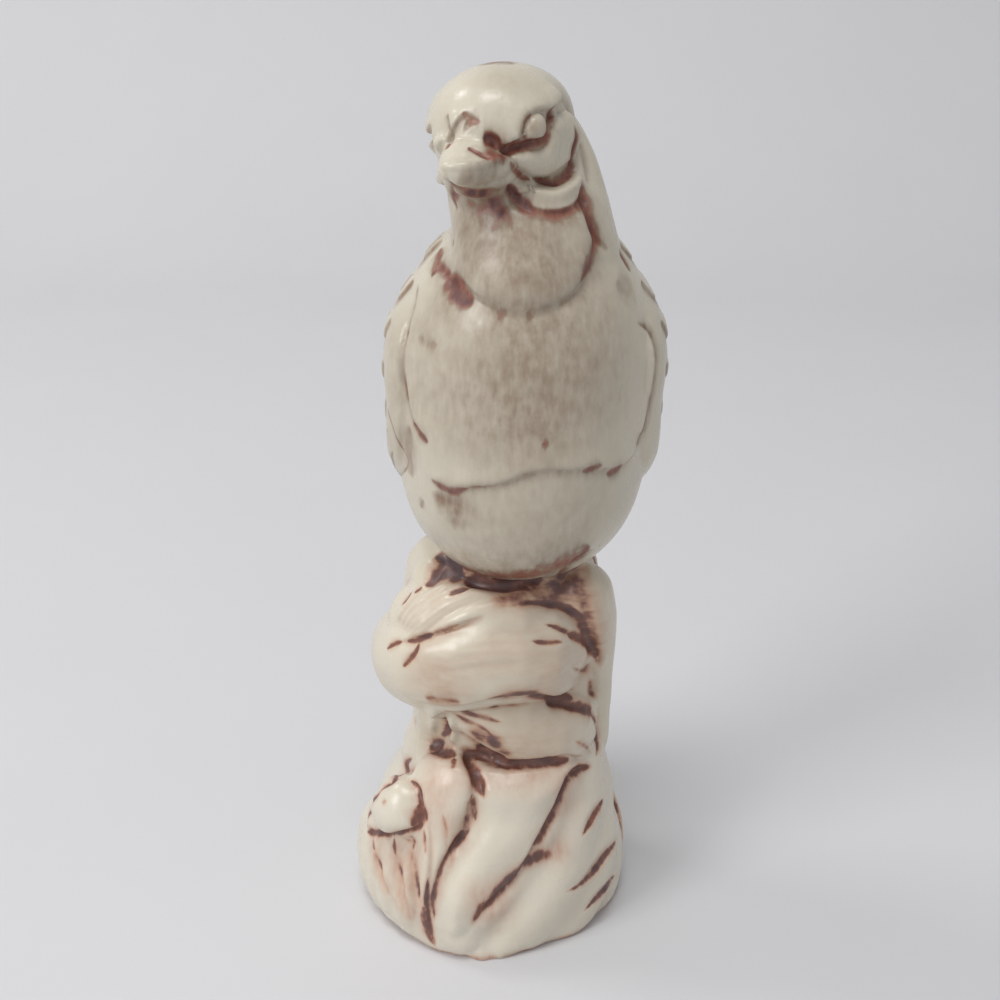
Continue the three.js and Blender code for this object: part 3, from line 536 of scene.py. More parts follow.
def glazed_earthenware(name, light, shaded, film_and_shade_colour, stain_and_shade_layers, stretch, turn=(0, 0, 0)):
    """Slip-cast earthenware under a clear ivory glaze, with a red-brown stain brushed on and wiped off.

    The stain stays in the hollows and along the fine strands of the modelling. A pink-tan film of it stays
    round them, with specks and pinholes, and the glaze gives soft bright highlights. The same stain and
    film
    also paint shade: in the recesses under the belly and among the coils, under the ruff, on the tongue
    under the coil, and in part over the neck and breast.
    """
    made, tree, place = new_material(name)
    stain = add(tree, "Attribute", attribute_name="stain").outputs["Fac"]
    wash = add(tree, "Attribute", attribute_name="wash").outputs["Fac"]
    cloud, blotch, speck, ripple = (
        add(tree, "TexNoise", {"Vector": place}, {"Scale": 1 / (size * MM), "Detail": detail})
        for size, detail in ((16, 3), (3.2, 5), (0.45, 1), (5, 2))
    )
    along = add(tree, "Mapping", {"Vector": place}, {"Rotation": turn, "Scale": stretch})
    strand = add(tree, "TexNoise", {"Vector": along}, {"Scale": 1 / (1.3 * MM), "Detail": 5})
    pinhole = add(tree, "MapRange", {"Value": speck}, {"From Min": 0.7, "From Max": 0.8})
    mottle = add(tree, "Math", {0: strand, 1: blotch}, operation="ADD")
    patchy = add(tree, "MapRange", {"Value": mottle}, {"From Min": 0.6, "From Max": 1.4})
    thin = add(tree, "MapRange", {"Value": patchy}, {"To Min": 0.4, "To Max": 1.1})
    film_and_shade_level = add(tree, "Math", {0: wash, 1: thin}, operation="MULTIPLY")
    dotted = add(tree, "Math", {0: pinhole, 2: film_and_shade_level}, {1: 0.12}, operation="MULTIPLY_ADD")
    uneven = add(tree, "MapRange", {"Value": patchy}, {"To Min": 0.6, "To Max": 1.3})
    ragged = add(tree, "Math", {0: uneven, 1: stain}, operation="MULTIPLY")
    edges = {"From Min": 0.05, "From Max": 1.3}
    stain_and_shade_cover = add(tree, "MapRange", {"Value": ragged}, edges, interpolation_type="SMOOTHSTEP")
    amount = add(tree, "Math", {0: dotted, 1: stain_and_shade_cover}, operation="ADD")
    glazes = {FIRST: colour(light), SECOND: colour(shaded)}
    glaze = add(tree, "Mix", {"Factor": cloud}, glazes, data_type="RGBA")
    hue = add(tree, "MapRange", {"Value": cloud}, {"From Min": 0.42, "From Max": 0.75})
    film_and_shade_cover = add(tree, "MapRange", {"Value": amount}, {"From Min": 0.02, "From Max": 0.8})
    tan = {SECOND: colour(film_and_shade_colour)}
    tone = add(tree, "Mix", {"Factor": film_and_shade_cover, FIRST: glaze}, tan, data_type="RGBA")
    for redder, bluer, start, full in stain_and_shade_layers:
        hues = {FIRST: colour(redder), SECOND: colour(bluer)}
        layer = add(tree, "Mix", {"Factor": hue}, hues, data_type="RGBA")
        cover = add(tree, "MapRange", {"Value": amount}, {"From Min": start, "From Max": full})
        tone = add(tree, "Mix", {"Factor": cover, FIRST: tone, SECOND: layer}, data_type="RGBA")
    relief = add(tree, "Math", {0: strand, 2: ripple}, {1: 0.3}, operation="MULTIPLY_ADD")
    bump = add(tree, "Bump", {"Height": relief}, {"Strength": 0.5, "Distance": 0.4 * MM})
    gloss = add(tree, "MapRange", {"Value": amount}, {"To Min": 0.27, "To Max": 0.4})
    surface = {"Base Color": tone, "Roughness": gloss, "Normal": bump}
    shader = add(tree, "BsdfPrincipled", surface, {"IOR": 1.5})
    add(tree, "OutputMaterial", {"Surface": shader})
    return made


def bare_clay():
    """Unglazed fired earthenware on the foot: matt, buff and slightly gritty."""
    made, tree, place = new_material("bare_fired_earthenware")
    grit = add(tree, "TexNoise", {"Vector": place}, {"Scale": 1 / (0.5 * MM), "Detail": 4})
    buffs = {FIRST: colour("D9CDBB"), SECOND: colour("C2B29C")}
    tone = add(tree, "Mix", {"Factor": grit}, buffs, data_type="RGBA")
    bump = add(tree, "Bump", {"Height": grit}, {"Strength": 0.4, "Distance": 0.1 * MM})
    surface = {"Base Color": tone, "Normal": bump}
    shader = add(tree, "BsdfPrincipled", surface, {"Roughness": 0.85, "IOR": 1.5})
    add(tree, "OutputMaterial", {"Surface": shader})
    return made


def pale_card():
    """Matt card under and behind the object: one sheet that sweeps up into the backdrop."""
    made, tree, place = new_material("matt_card")
    fibre = add(tree, "TexNoise", {"Vector": place}, {"Scale": 1 / (60 * MM), "Detail": 2})
    pales = {FIRST: colour("D5D5D6"), SECOND: colour("D2D2D4")}
    tone = add(tree, "Mix", {"Factor": fibre}, pales, data_type="RGBA")
    shader = add(tree, "BsdfPrincipled", {"Base Color": tone}, {"Roughness": 0.9})
    add(tree, "OutputMaterial", {"Surface": shader})
    return made


def backdrop():
    """The table and the wall behind it, one sheet of card that bends up."""
    sheet = bmesh.new()
    bmesh.ops.create_grid(sheet, x_segments=1, y_segments=1, size=1)
    bmesh.ops.scale(sheet, verts=sheet.verts, vec=(CARD_HALF_WIDTH, CARD_HALF_DEPTH, 1))
    bmesh.ops.translate(sheet, verts=sheet.verts, vec=(0, BEND_START - CARD_HALF_DEPTH, 0))
    rim = [edge for edge in sheet.edges if all(end.co.y > BEND_START - MM for end in edge.verts)]
    length = BEND_RADIUS * pi / 2 / BEND_STEPS
    angles = [pi / 2 * (step + 0.5) / BEND_STEPS for step in range(BEND_STEPS)]
    for run in [(0, length * cos(angle), length * sin(angle)) for angle in angles] + [(0, 0, WALL_HEIGHT)]:
        grown = bmesh.ops.extrude_edge_only(sheet, edges=rim)["geom"]
        rim = [item for item in grown if isinstance(item, bmesh.types.BMEdge)]
        ends = [item for item in grown if isinstance(item, bmesh.types.BMVert)]
        bmesh.ops.translate(sheet, verts=ends, vec=run)
    for face in sheet.faces:
        face.smooth = True
    mesh = bpy.data.meshes.new("card")
    sheet.to_mesh(mesh)
    sheet.free()
    card = placed("table_card", mesh)
    card.data.materials.append(pale_card())


def camera():
    seat = bpy.data.cameras.new("camera")
    seat.sensor_width = SENSOR_WIDTH
    seat.lens = FOCAL_PIXELS * SENSOR_WIDTH / PICTURE_WIDTH
    seat.clip_start = 0.01
    seat.clip_end = 20
    bpy.context.scene.camera = placed("camera", seat, EYE_POINT, (pi / 2 - CAMERA_ELEVATION, 0, 0))


def soft_light(name, place, size, power):
    """A rectangle of soft light, in metres and watts, turned to the object."""
    lamp = bpy.data.lights.new(name, "AREA")
    lamp.shape = "RECTANGLE"
    lamp.size, lamp.size_y = size
    lamp.energy = power
    placed(name, lamp, place, (AIM - Vector(place)).to_track_quat("-Z", "Y").to_euler())


def studio():
    """A white room's even light, with two windows on the left and a ceiling light."""
    world = bpy.data.worlds.new("room")
    world.use_nodes = True
    room = world.node_tree.nodes["Background"]
    room.inputs["Color"].default_value = colour("F0F0F2")
    room.inputs["Strength"].default_value = ROOM_LIGHT
    bpy.context.scene.world = world
    soft_light("left window", (-0.95, -0.7, 0.8), (0.5, 0.6), 6.9)
    soft_light("back window", (-0.74, 0.27, 1.1), (0.3, 0.25), 2.6)
    soft_light("ceiling", (-0.1, -0.33, 1.4), (0.5, 0.35), 5.3)
    bpy.context.scene.view_settings.view_transform = "Standard"


class View:
    """Works on the skin by pixels of the photograph, and by mirror image on the head's far side."""

    def __init__(self, skin):
        self.skin = skin
        near, far = (sum(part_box(name), Vector()) / 2 for name in ("eye_left", "eye_right"))
        self.middle = (near + far) / 2
        self.across = (near - far).normalized()
        self.across.z = 0

    def places(self, pixels):
        return [np.array(self.skin.seen(x, y)) for x, y in pixels]

    def mirrored(self, places):
        flipped = [Vector(p) - 2 * self.across * self.across.dot(Vector(p) - self.middle) for p in places]
        return [np.array(self.skin.tree.find_nearest(p)[0]) for p in reversed(flipped)]

    def both(self, work, pixels, *sizes, **finish):
        """Does one piece of work on the side that is seen and on the other."""
        seen = self.places(pixels)
        hidden = self.mirrored(seen)
        work(seen, *sizes, **finish)
        work(hidden, *sizes, **finish)

    def stroke(self, pixels, *sizes, **finish):
        self.skin.stroke(self.places(pixels), *sizes, **finish)

    def strokes(self, lines, *sizes, **finish):
        for pixels in lines:
            self.stroke(pixels, *sizes, **finish)

    def fold(self, pixels, *sizes, **finish):
        self.skin.fold(self.places(pixels), *sizes, **finish)

    def pad(self, pixels, *sizes, **finish):
        self.skin.pad(self.places(pixels), *sizes, **finish)

    def mists(self, spots):
        for x, y, *film_and_shade_level in spots:
            self.skin.mist(self.places([(x, y)])[0], *film_and_shade_level)


# The face, in pixels of the photograph.
BROW = (
    (486, 134), (493, 135), (499, 139), (502, 146), (511, 143), (520, 139), (523, 130), (526, 120),
    (534, 112), (545, 110), (553, 109), (559, 101), (562, 92),
)
VALLEY = (
    (496, 145), (506, 151), (515, 147), (530, 144), (541, 142), (547, 135), (549, 124), (551, 114),
    (557, 105),
)
EYE = (
    (540, 112), (545, 120), (546, 130), (543, 138), (536, 140), (525, 139), (523, 131), (526, 121),
    (532, 114),
)
EYE_RIM = ((523, 140), (523, 131), (526, 121), (532, 114))
CHEEK = (
    (563, 109), (570, 116), (575, 130), (574, 148), (570, 163), (562, 172), (551, 178), (538, 177),
    (526, 172), (516, 165), (510, 157), (514, 152), (526, 150), (540, 148), (548, 140), (553, 124),
    (557, 113),
)
UNDER_CHEEK = (
    (529, 176), (543, 182), (556, 183), (566, 177), (571, 168), (574, 152), (577, 138), (573, 122),
)
RUFF = ((516, 180), (526, 190), (540, 197), (556, 198), (568, 192), (576, 182), (577, 172))
# The shade under the ruff is painted: a dark fold that fades downwards, and a darker line where it starts.
UNDER_RUFF = (
    (509, 183), (514, 194), (522, 202), (534, 208), (548, 211), (562, 210), (573, 205), (581, 195),
    (583, 182),
)
UNDER_RUFF_DARK = ((509, 184), (514, 194), (522, 202), (534, 208))
JAW = (
    (447, 172), (462, 171), (480, 169), (497, 165), (508, 166), (514, 175), (509, 184), (497, 188),
    (480, 190), (463, 187), (452, 181),
)
MOUTH_CREASE = ((509, 160), (514, 168), (521, 176), (531, 181))
JAW_SHADE = ((455, 177), (475, 180), (498, 177))
MOUTH = ((441, 167), (459, 167), (478, 165), (496, 161), (508, 163), (515, 171), (510, 181))
CHIN = ((446, 176), (453, 184), (463, 190), (482, 193), (500, 190), (509, 184))
LORE = ((467, 147), (475, 151), (484, 156), (492, 159))
# The pit's dark, in the hollow under the brow, is partly painted shade.
PIT = ((482, 139), (490, 139), (497, 144), (505, 152))
CERE = ((463, 110), (466, 117), (473, 121), (482, 122))
CERE_HOLLOW = ((464, 123), (470, 127))
CROWN_EDGE = ((446, 147), (449, 137), (455, 126), (462, 115))
CROWN_NICK = ((447, 149), (448, 140))
CROWN_RUB = ((482, 66), (496, 62), (514, 65))
NAPE = ((588, 186), (580, 148), (569, 116), (561, 98), (552, 84))
LEFT_STREAK = ((452, 184), (453, 198), (457, 214))
THROAT_STREAKS = (
    ((486, 200), (480, 212), (478, 226)), ((496, 204), (495, 218), (492, 234)),
    ((505, 208), (509, 218), (512, 232)),
)

# The bib and the hood that falls behind it.
BIB_EDGE = (
    (442, 256), (451, 269), (466, 284), (483, 298), (505, 309), (533, 311), (558, 302), (575, 288),
    (586, 272), (593, 255), (592, 240), (587, 225), (582, 205),
)
BIB_RIGHT = ((583, 204), (590, 222), (595, 238), (592, 256), (584, 271), (577, 286))
HOOD_EDGE = ((584, 186), (588, 205), (594, 224), (602, 241), (609, 252))
HOOD_STREAK = ((581, 178), (584, 195), (589, 215), (596, 235), (605, 250))
BIB_BLOT = ((446, 275), (455, 288), (464, 299), (475, 305))
BIB_BLOT_TOP = ((441, 247), (438, 258), (435, 268), (431, 279))
BIB_BLOT_NECK = ((436, 262), (443, 271), (452, 281))
BIB_SPOTS = (((496, 313), (508, 315)), ((525, 313), (536, 317)))
NECK_SPOT = ((454, 239), (455, 247))
SHOULDER_SLIT = ((619, 247), (624, 259), (631, 273))


def carve_face(skin, view):
    view.both(skin.fold, BROW, 0.9, 0.9, 1.5, 0.4)
    view.both(skin.fold, NAPE, 0.4, 0.5, 1.6, wash=0.6)
    skin.ease(2)
    view.both(skin.pad, CHEEK, 2.0, 3.4, 0.4, stain_width=0.6)
    view.both(skin.pad, EYE, 1.3, 2.4, 0.4, stain_width=0.3)
    view.both(skin.stroke, RUFF, 1.5, -1.8, taper=0.12)
    view.pad(JAW, 1.1, 2.6, 0.3, stain_width=0.4)
    view.stroke(MOUTH, 1.0, -1.1, taper=0.1)
    skin.untangle()
    skin.settle()
    view.both(skin.stroke, VALLEY, 0.75, 1.0, 1.15, taper=0.12)
    view.both(skin.stroke, EYE_RIM, 0.5, 0.4, 0.95, taper=0.15)
    view.both(skin.stroke, UNDER_CHEEK, 0.6, 0.9, 1.1, taper=0.3)
    # Painted shade under the ruff.
    view.both(skin.fold, UNDER_RUFF, 0.1, 0.8, 1.8, 0.85, bleed=2.0, wash=1.0)
    view.stroke(UNDER_RUFF_DARK, 0.8, 0.4, 1.15, taper=0.3)
    view.both(skin.fold, CROWN_EDGE, 0.2, 0.5, 1.2, 0.5, bleed=1.0)
    view.stroke(CROWN_NICK, 0.5, 0.2, 0.9)
    view.stroke(MOUTH_CREASE, 0.5, 0.2, 0.9, wash=0.4, taper=0.25)
    view.stroke(JAW_SHADE, 1.8, 0.0, wash=0.6)
    view.stroke(CHIN, 0.9, 0.6, 0.4, wash=0.9)
    view.stroke(LORE, 0.45, 0.4, 1.0, taper=0.2)
    # The pit, cut and darkened, partly as painted shade.
    view.stroke(PIT, 1.0, 0.7, 1.15, taper=0.2)
    view.stroke(CERE, 0.8, 0.4, 0.7, wash=0.9)
    view.stroke(CERE_HOLLOW, 0.8, 0.4, wash=0.9)
    view.stroke(CROWN_RUB, 1.4, 0.0, 0.3, wash=0.9)
    view.strokes(THROAT_STREAKS, 0.4, 0.1, 0.6)
    view.stroke(LEFT_STREAK, 1.0, 0.7, 1.0)
    skin.ease(1)
    skin.untangle()
    skin.settle()


def carve_bib(view):
    view.fold(BIB_EDGE, 0.9, 0.3, 2.2, wash=0.5, bleed=1.5, taper=0.1, lip=1.0)
    view.stroke(BIB_RIGHT, 1.25, 0.8, 1.05, taper=0.35)
    view.fold(HOOD_EDGE, 0.3, 0.7, 1.6, 0.3, wash=0.8)
    view.stroke(HOOD_STREAK, 1.3, 0.7, 1.0)
    view.stroke(BIB_BLOT, 1.9, 0.4, 1.15, taper=0.35)
    view.stroke(BIB_BLOT_TOP, 1.0, 0.3, 0.95)
    view.stroke(BIB_BLOT_NECK, 0.9, 0.3, 1.0, taper=0.2)
    view.stroke(NECK_SPOT, 0.5, 0.1, 0.7)
    view.stroke(SHOULDER_SLIT, 0.6, 0.5, 0.95)
    view.strokes(BIB_SPOTS, 1.2, 0.1, 0.5)


# Soft films of the stain, some of them painted shade: where, how many millimetres wide, how much film and
# how much stain.
# The wide ones over the neck, breast, belly and wings darken them, partly as painted shade; those at (489,
# 145), (494, 154) and (503, 157) are partly the pit's painted shade.
BIRD_MISTS = (
    (472, 195, 1.7, 0.9, 1.15), (482, 195, 1.9, 0.9, 1.25), (473, 204, 1.8, 0.9, 0.6),
    (485, 207, 1.8, 0.9, 0.9), (495, 203, 1.9, 0.9, 1.2), (501, 213, 1.8, 0.9, 1.15),
    (496, 224, 2.0, 0.9, 0.45), (480, 218, 2.6, 0.9, 0.4), (489, 145, 1.2, 0.9, 1.4),
    (494, 154, 2.2, 0.9, 1.0), (503, 157, 1.3, 0.9, 1.1), (534, 126, 1.8, 0.8, 0.15),
    (480, 220, 6, 0.9, 0.12), (494, 236, 5, 0.6, 0.1), (505, 250, 11, 0.95), (545, 270, 10, 0.8),
    (475, 225, 8, 0.8), (520, 345, 12, 0.9), (530, 400, 13, 0.9, 0.06), (545, 436, 6, 0.5, 0.1),
    (490, 440, 9, 0.45), (590, 380, 12, 0.45), (595, 320, 9, 0.35), (440, 395, 10, 0.5), (400, 400, 8, 0.4),
    (393, 340, 7, 0.3), (388, 440, 6, 0.3), (470, 520, 9, 0.4), (530, 525, 10, 0.4), (585, 505, 9, 0.3),
    (470, 560, 4, 0.7, 0.15), (505, 566, 5, 0.7, 0.15), (545, 560, 5, 0.7, 0.15), (575, 550, 4, 0.7, 0.15),
    (440, 545, 4, 0.5), (445, 300, 5, 0.4), (425, 330, 5, 0.4), (500, 78, 6, 0.3),
)
# Those at (434-456, 573-580) and (502-592, 568-625) paint the shade in the recesses under the belly, with
# some stain; (446, 772) and (436, 790) paint the coil's shadow on the tongue; (478, 736) to (505, 752)
# darken the hollow at the fan's end, partly as painted shade.
STUMP_MISTS = (
    (447, 573, 2.0, 0.9, 1.6), (440, 575, 1.9, 0.9, 1.6), (456, 579, 1.7, 0.9, 1.6),
    (434, 580, 1.2, 0.9, 1.1), (430, 675, 6, 0.7), (455, 690, 5, 0.5), (502, 598, 3, 0.8, 0.6),
    (520, 597, 3.5, 0.9, 0.8), (538, 594, 3.5, 0.9, 0.85), (556, 590, 4, 0.9, 0.9),
    (572, 585, 3.5, 0.9, 1.0), (576, 568, 3, 0.8, 0.75), (586, 600, 3, 0.8, 0.4), (592, 625, 3, 0.6, 0.3),
    (446, 772, 5, 0.6), (436, 790, 4, 0.5), (478, 736, 2.6, 0.9, 1.1), (494, 743, 2.6, 0.9, 1.2),
    (505, 752, 1.7, 0.9, 1.3), (520, 745, 6, 0.6), (555, 740, 6, 0.4), (550, 685, 6, 0.3),
    (440, 746, 4, 0.8, 0.4), (505, 775, 5, 0.7, 0.1), (535, 775, 5, 0.6), (496, 912, 5, 0.8, 0.15),
    (480, 895, 4, 0.6, 0.1), (529, 862, 2.0, 0.9, 1.5), (538, 857, 2.0, 0.9, 1.4),
    (547, 855, 1.6, 0.9, 1.1), (556, 850, 4, 0.8, 0.2), (568, 800, 5, 0.6, 0.1), (375, 850, 4, 0.7, 0.15),
    (395, 852, 4, 0.7, 0.15), (415, 850, 4, 0.7, 0.15), (405, 900, 7, 0.4), (452, 830, 5, 0.5),
    (435, 800, 6, 0.4),
)


# The breast, belly and wings.
WING_FRONT_LEFT = (
    (418, 282), (416, 300), (411, 325), (405, 350), (405, 372), (409, 395), (413, 418), (427, 443),
)
WING_LINE_LEFT = ((419, 284), (416, 304), (412, 325))
WING_NOTCH = ((412, 420), (418, 431), (429, 444))
SCALLOP_LEFT = ((418, 336), (427, 343), (438, 345))
WING_EDGE_LEFT = ((387, 405), (392, 425), (400, 445), (407, 467), (402, 479), (399, 492))
WING_MARKS_LEFT = (((386, 412), (389, 432)), ((396, 470), (402, 484)), ((393, 450), (398, 474)))
FLANK_LEFT = ((410, 425), (409, 455), (413, 480))
BREAST_CREASE = (
    (427, 476), (441, 488), (456, 491), (472, 486), (490, 486), (508, 481), (526, 474), (548, 470),
    (570, 470), (592, 467), (612, 468), (628, 460), (638, 447),
)
CREASE_BLOTS = (
    ((430, 477), (440, 486), (454, 490), (471, 487)), ((440, 484), (452, 492), (462, 491)),
    ((581, 472), (591, 469), (602, 463)), ((606, 476), (615, 470), (623, 465)),
)
CREASE_STREAK = ((468, 487), (484, 486), (500, 484))
BELLY_FOLD = ((431, 492), (444, 502), (457, 508), (453, 530))
BELLY_NICK = ((423, 499), (421, 509))
WING_FRONT_RIGHT = (
    (636, 321), (648, 332), (655, 352), (654, 380), (650, 400), (644, 424), (638, 442), (635, 452),
)
WING_BLOT_RIGHT = ((641, 430), (636, 448))
BREAST_SPOT = ((542, 444), (549, 444))
BELLY_RED = ((436, 553), (455, 566), (480, 573), (517, 576), (545, 570), (575, 556), (592, 545))
SHOULDER_DIMPLE = ((614, 284), (624, 288), (634, 285))


def carve_breast(view):
    view.fold(WING_FRONT_LEFT, 0.5, 0.4, 1.2, wash=0.6)
    view.stroke(WING_LINE_LEFT, 0.4, 0.2, 0.6)
    view.stroke(WING_NOTCH, 0.7, 0.5, 1.0)
    view.stroke(SCALLOP_LEFT, 0.6, 0.3, wash=0.8)
    view.fold(WING_EDGE_LEFT, 0.2, 0.5, 0.7, 0.8)
    view.strokes(WING_MARKS_LEFT, 0.5, 0.3, 0.7)
    view.stroke(FLANK_LEFT, 1.2, 0.4, wash=0.8)
    view.fold(BREAST_CREASE, 0.8, 0.35, 1.8, wash=0.6)
    view.strokes(CREASE_BLOTS, 0.75, 0.3, 0.95)
    view.stroke(CREASE_STREAK, 0.4, 0.2, 0.6)
    view.stroke(BELLY_FOLD, 1.4, 0.5, wash=1.0)
    view.stroke(BELLY_NICK, 0.5, 0.3, 0.7)
    view.fold(WING_FRONT_RIGHT[::-1], 0.7, 0.7, 1.3, 0.4, bleed=0.8, wash=0.9)
    view.stroke(WING_BLOT_RIGHT, 0.7, 0.3, 0.95)
    view.mists(BIRD_MISTS)
    view.stroke(BREAST_SPOT, 0.9, 0.0, 0.45, wash=1.0)
    view.stroke(BELLY_RED, 2.2, 0.0, 0.6, wash=1.0, taper=0.1)
    view.stroke(SHOULDER_DIMPLE, 1.8, 0.5, wash=0.5)


# The coils under the bird.
# The shade under the belly and the dark in the slot and recesses below it are painted shade, with some
# stain.
BELLY_SHADE = ((434, 554), (450, 570), (470, 578), (500, 582), (530, 580), (560, 571), (595, 548))
RECESS_LEFT = (
    ((434, 555), (445, 561), (456, 571), (466, 580)), ((444, 560), (438, 573), (425, 588)),
    ((440, 556), (452, 562), (462, 574)),
)
RECESS_TIP = ((472, 589), (459, 592), (448, 597))
SLOT = ((460, 578), (478, 583), (500, 585), (522, 583), (545, 580))
RECESS_RIGHT = (
    (508, 607), (530, 602), (550, 604), (566, 608), (577, 616), (585, 630), (592, 648), (598, 668),
)
RECESS_TOP = ((595, 548), (582, 555), (571, 565), (556, 577))
COIL_STAINS = (
    ((542, 624), (552, 626), (566, 631), (580, 636)), ((531, 640), (546, 643), (567, 642)),
    ((424, 588), (415, 594)), ((412, 591), (408, 599), (402, 606)), ((386, 650), (393, 644), (404, 641)),
)
COIL_BLOCK = ((567, 633), (580, 638), (590, 645), (598, 660))
COIL_TICK = ((574, 669), (583, 671), (592, 671))
Y_CRACK = ((400, 642), (430, 635), (450, 628), (468, 621), (486, 615))
Y_DARK = ((405, 642), (418, 639), (436, 632))
Y_PINK = ((430, 634), (446, 629), (462, 622))
Y_BRANCH = ((418, 639), (415, 652), (402, 668))
MAIN_BASE = ((414, 700), (443, 706), (468, 704), (484, 700), (517, 697), (550, 696), (575, 702), (592, 709))
MAIN_BAND = ((545, 702), (560, 702), (576, 706), (593, 712))
MAIN_BAND_LEFT = ((482, 699), (500, 697), (530, 694), (556, 696), (576, 702))
MAIN_BROWN = ((424, 696), (440, 700), (462, 700))
LOWER_LINES = (((441, 710), (470, 714), (504, 723)), ((443, 711), (462, 719), (484, 730), (508, 750)))
LOWER_BASE = ((456, 744), (478, 752), (500, 761), (532, 759), (566, 753), (585, 757))
# The brown in the hollow at the fan's end is partly painted shade.
LOWER_DARK = (((476, 744), (487, 753), (500, 761)), ((492, 752), (500, 759), (506, 762)))
LOWER_BAND = ((495, 762), (512, 763), (530, 762), (550, 761), (570, 760))
LOWER_END = ((588, 709), (596, 721), (597, 740), (595, 758))
LOWER_MARK = ((573, 740), (583, 745), (593, 753))
DROP = ((434, 708), (434, 720), (437, 733))
CURL = ((452, 716), (456, 729), (452, 743))
CURL_DARK = (((446, 715), (448, 728), (440, 738)), ((429, 744), (441, 751), (458, 756)))
# The tan along the post's left edge is painted shade.
POST_EDGE = ((588, 562), (582, 585), (586, 610), (594, 640), (601, 672))
POST_TOP = ((600, 553), (604, 564))
FIBRE_GUIDES = (
    ((398, 622), (412, 598), (437, 577)), ((404, 634), (440, 603), (478, 590)),
    ((418, 640), (455, 612), (500, 596)),
)
COIL_GRAIN = (
    ((470, 640), (520, 634), (570, 646), (596, 668)), ((440, 662), (510, 652), (570, 662), (598, 690)),
    ((430, 685), (500, 678), (560, 682), (594, 704)),
)


def between(first, second, share):
    """A line part of the way from one drawn line to another."""
    return [(a[0] + (b[0] - a[0]) * share, a[1] + (b[1] - a[1]) * share) for a, b in zip(first, second)]


def carve_coils(skin, view):
    # Painted shade, with some stain, under the belly and in the slot and recesses below it.
    view.fold(BELLY_SHADE, 0.0, 0.8, 2.2, 0.6, bleed=1.6, wash=1.0)
    view.strokes(RECESS_LEFT, 1.0, 0.7, 1.1, taper=0.3)
    view.stroke(RECESS_TIP, 0.6, 0.5, 1.0)
    view.stroke(SLOT, 1.3, 1.4, 1.2, taper=0.2)
    view.stroke(RECESS_RIGHT, 0.8, 1.0, 1.1, taper=0.35)
    view.stroke(RECESS_TOP, 0.9, 0.6, 0.95)
    view.strokes(COIL_STAINS, 0.5, 0.5, 0.95)
    view.stroke(COIL_BLOCK, 1.0, 0.8, 1.05, taper=0.2)
    view.stroke(COIL_TICK, 0.45, 0.4, 0.85)
    view.fold(Y_CRACK, 0.8, 0.7, 1.6, bleed=1.0, wash=0.6)
    view.stroke(Y_DARK, 0.55, 0.5, 1.05)
    view.stroke(Y_PINK, 0.5, 0.2, 0.75)
    view.stroke(Y_BRANCH, 0.55, 0.6, 1.0)
    view.fold(MAIN_BASE, 0.6, 0.9, 1.8, 0.3, bleed=0.9)
    view.stroke(MAIN_BAND, 1.15, 0.7, 1.15, taper=0.15)
    view.stroke(MAIN_BAND_LEFT, 1.4, 0.4, 1.1, taper=0.2)
    view.stroke(MAIN_BROWN, 1.1, 0.2, 0.6, wash=0.76, taper=0.3)
    view.strokes(LOWER_LINES, 0.5, 0.6, 0.85)
    view.fold(LOWER_BASE, 0.4, 1.0, 1.8, 0.4, bleed=1.0)
    # The hollow at the fan's end, darkened partly as painted shade.
    view.strokes(LOWER_DARK, 1.4, 0.9, 1.1, taper=0.3)
    view.stroke(LOWER_BAND, 1.15, 0.6, 1.1, taper=0.2)
    view.stroke(LOWER_END, 0.55, 0.8, 1.0, taper=0.2)
    view.stroke(LOWER_MARK, 0.45, 0.4, 0.8)
    view.stroke(CURL_DARK[0], 1.0, 0.9, 1.15)
    view.stroke(CURL_DARK[1], 1.3, 0.9, 1.05, taper=0.3)
    view.stroke(DROP, 1.2, -1.5, taper=0.15)
    view.stroke(CURL, 0.8, -1.4, taper=0.15)
    # Painted shade along the post's left edge.
    view.stroke(POST_EDGE, 1.2, 0.9, 0.45, wash=1.0)
    view.stroke(POST_TOP, 0.5, 0.3, 0.7)
    for first, second in zip(FIBRE_GUIDES, FIBRE_GUIDES[1:]):
        for share in (0.1, 0.45, 0.8):
            view.fold(between(first, second, share), 0.6, 0.6, 1.1, wash=0.3)
    for first, second in zip(COIL_GRAIN, COIL_GRAIN[1:]):
        for share in (0.0, 0.5):
            view.stroke(between(first, second, share), 1.6, 0.6, wash=0.35)
    skin.ease(1)


# The root block.
TONGUE_EDGE = (
    (434, 926), (433, 905), (436, 890), (441, 873), (447, 860), (455, 848), (462, 839), (469, 830),
    (475, 821),
)
TONGUE_NECK = ((475, 823), (474, 810), (472, 792))
TONGUE_WEDGE = ((448, 860), (455, 846), (461, 836), (464, 828))
TONGUE_DARK = ((465, 750), (471, 766), (478, 783), (484, 801))
TONGUE_LEFT = ((428, 820), (430, 845), (429, 870), (427, 890), (427, 910), (430, 930), (437, 949))
TONGUE_BAND = ((423, 903), (424, 920), (429, 936), (436, 948))
TONGUE_LINES = (((442, 812), (446, 830), (446, 850)), ((467, 800), (470, 812), (469, 824)))
TONGUE_SPOT = ((455, 757), (452, 770))
SLOT_LEFT = ((405, 771), (394, 781), (383, 788), (374, 798), (369, 813), (368, 831))
SLOT_LEFT_TOP = ((414, 757), (405, 766), (401, 778))
BUD = (
    (369, 815), (371, 802), (380, 791), (393, 783), (405, 779), (415, 787), (421, 801), (424, 815),
    (418, 826), (404, 831), (384, 831), (370, 829),
)
BUD_RIGHT = ((410, 780), (418, 788), (421, 802), (425, 815), (427, 824))
BUD_SHADE = ((420, 802), (419, 817), (411, 828))
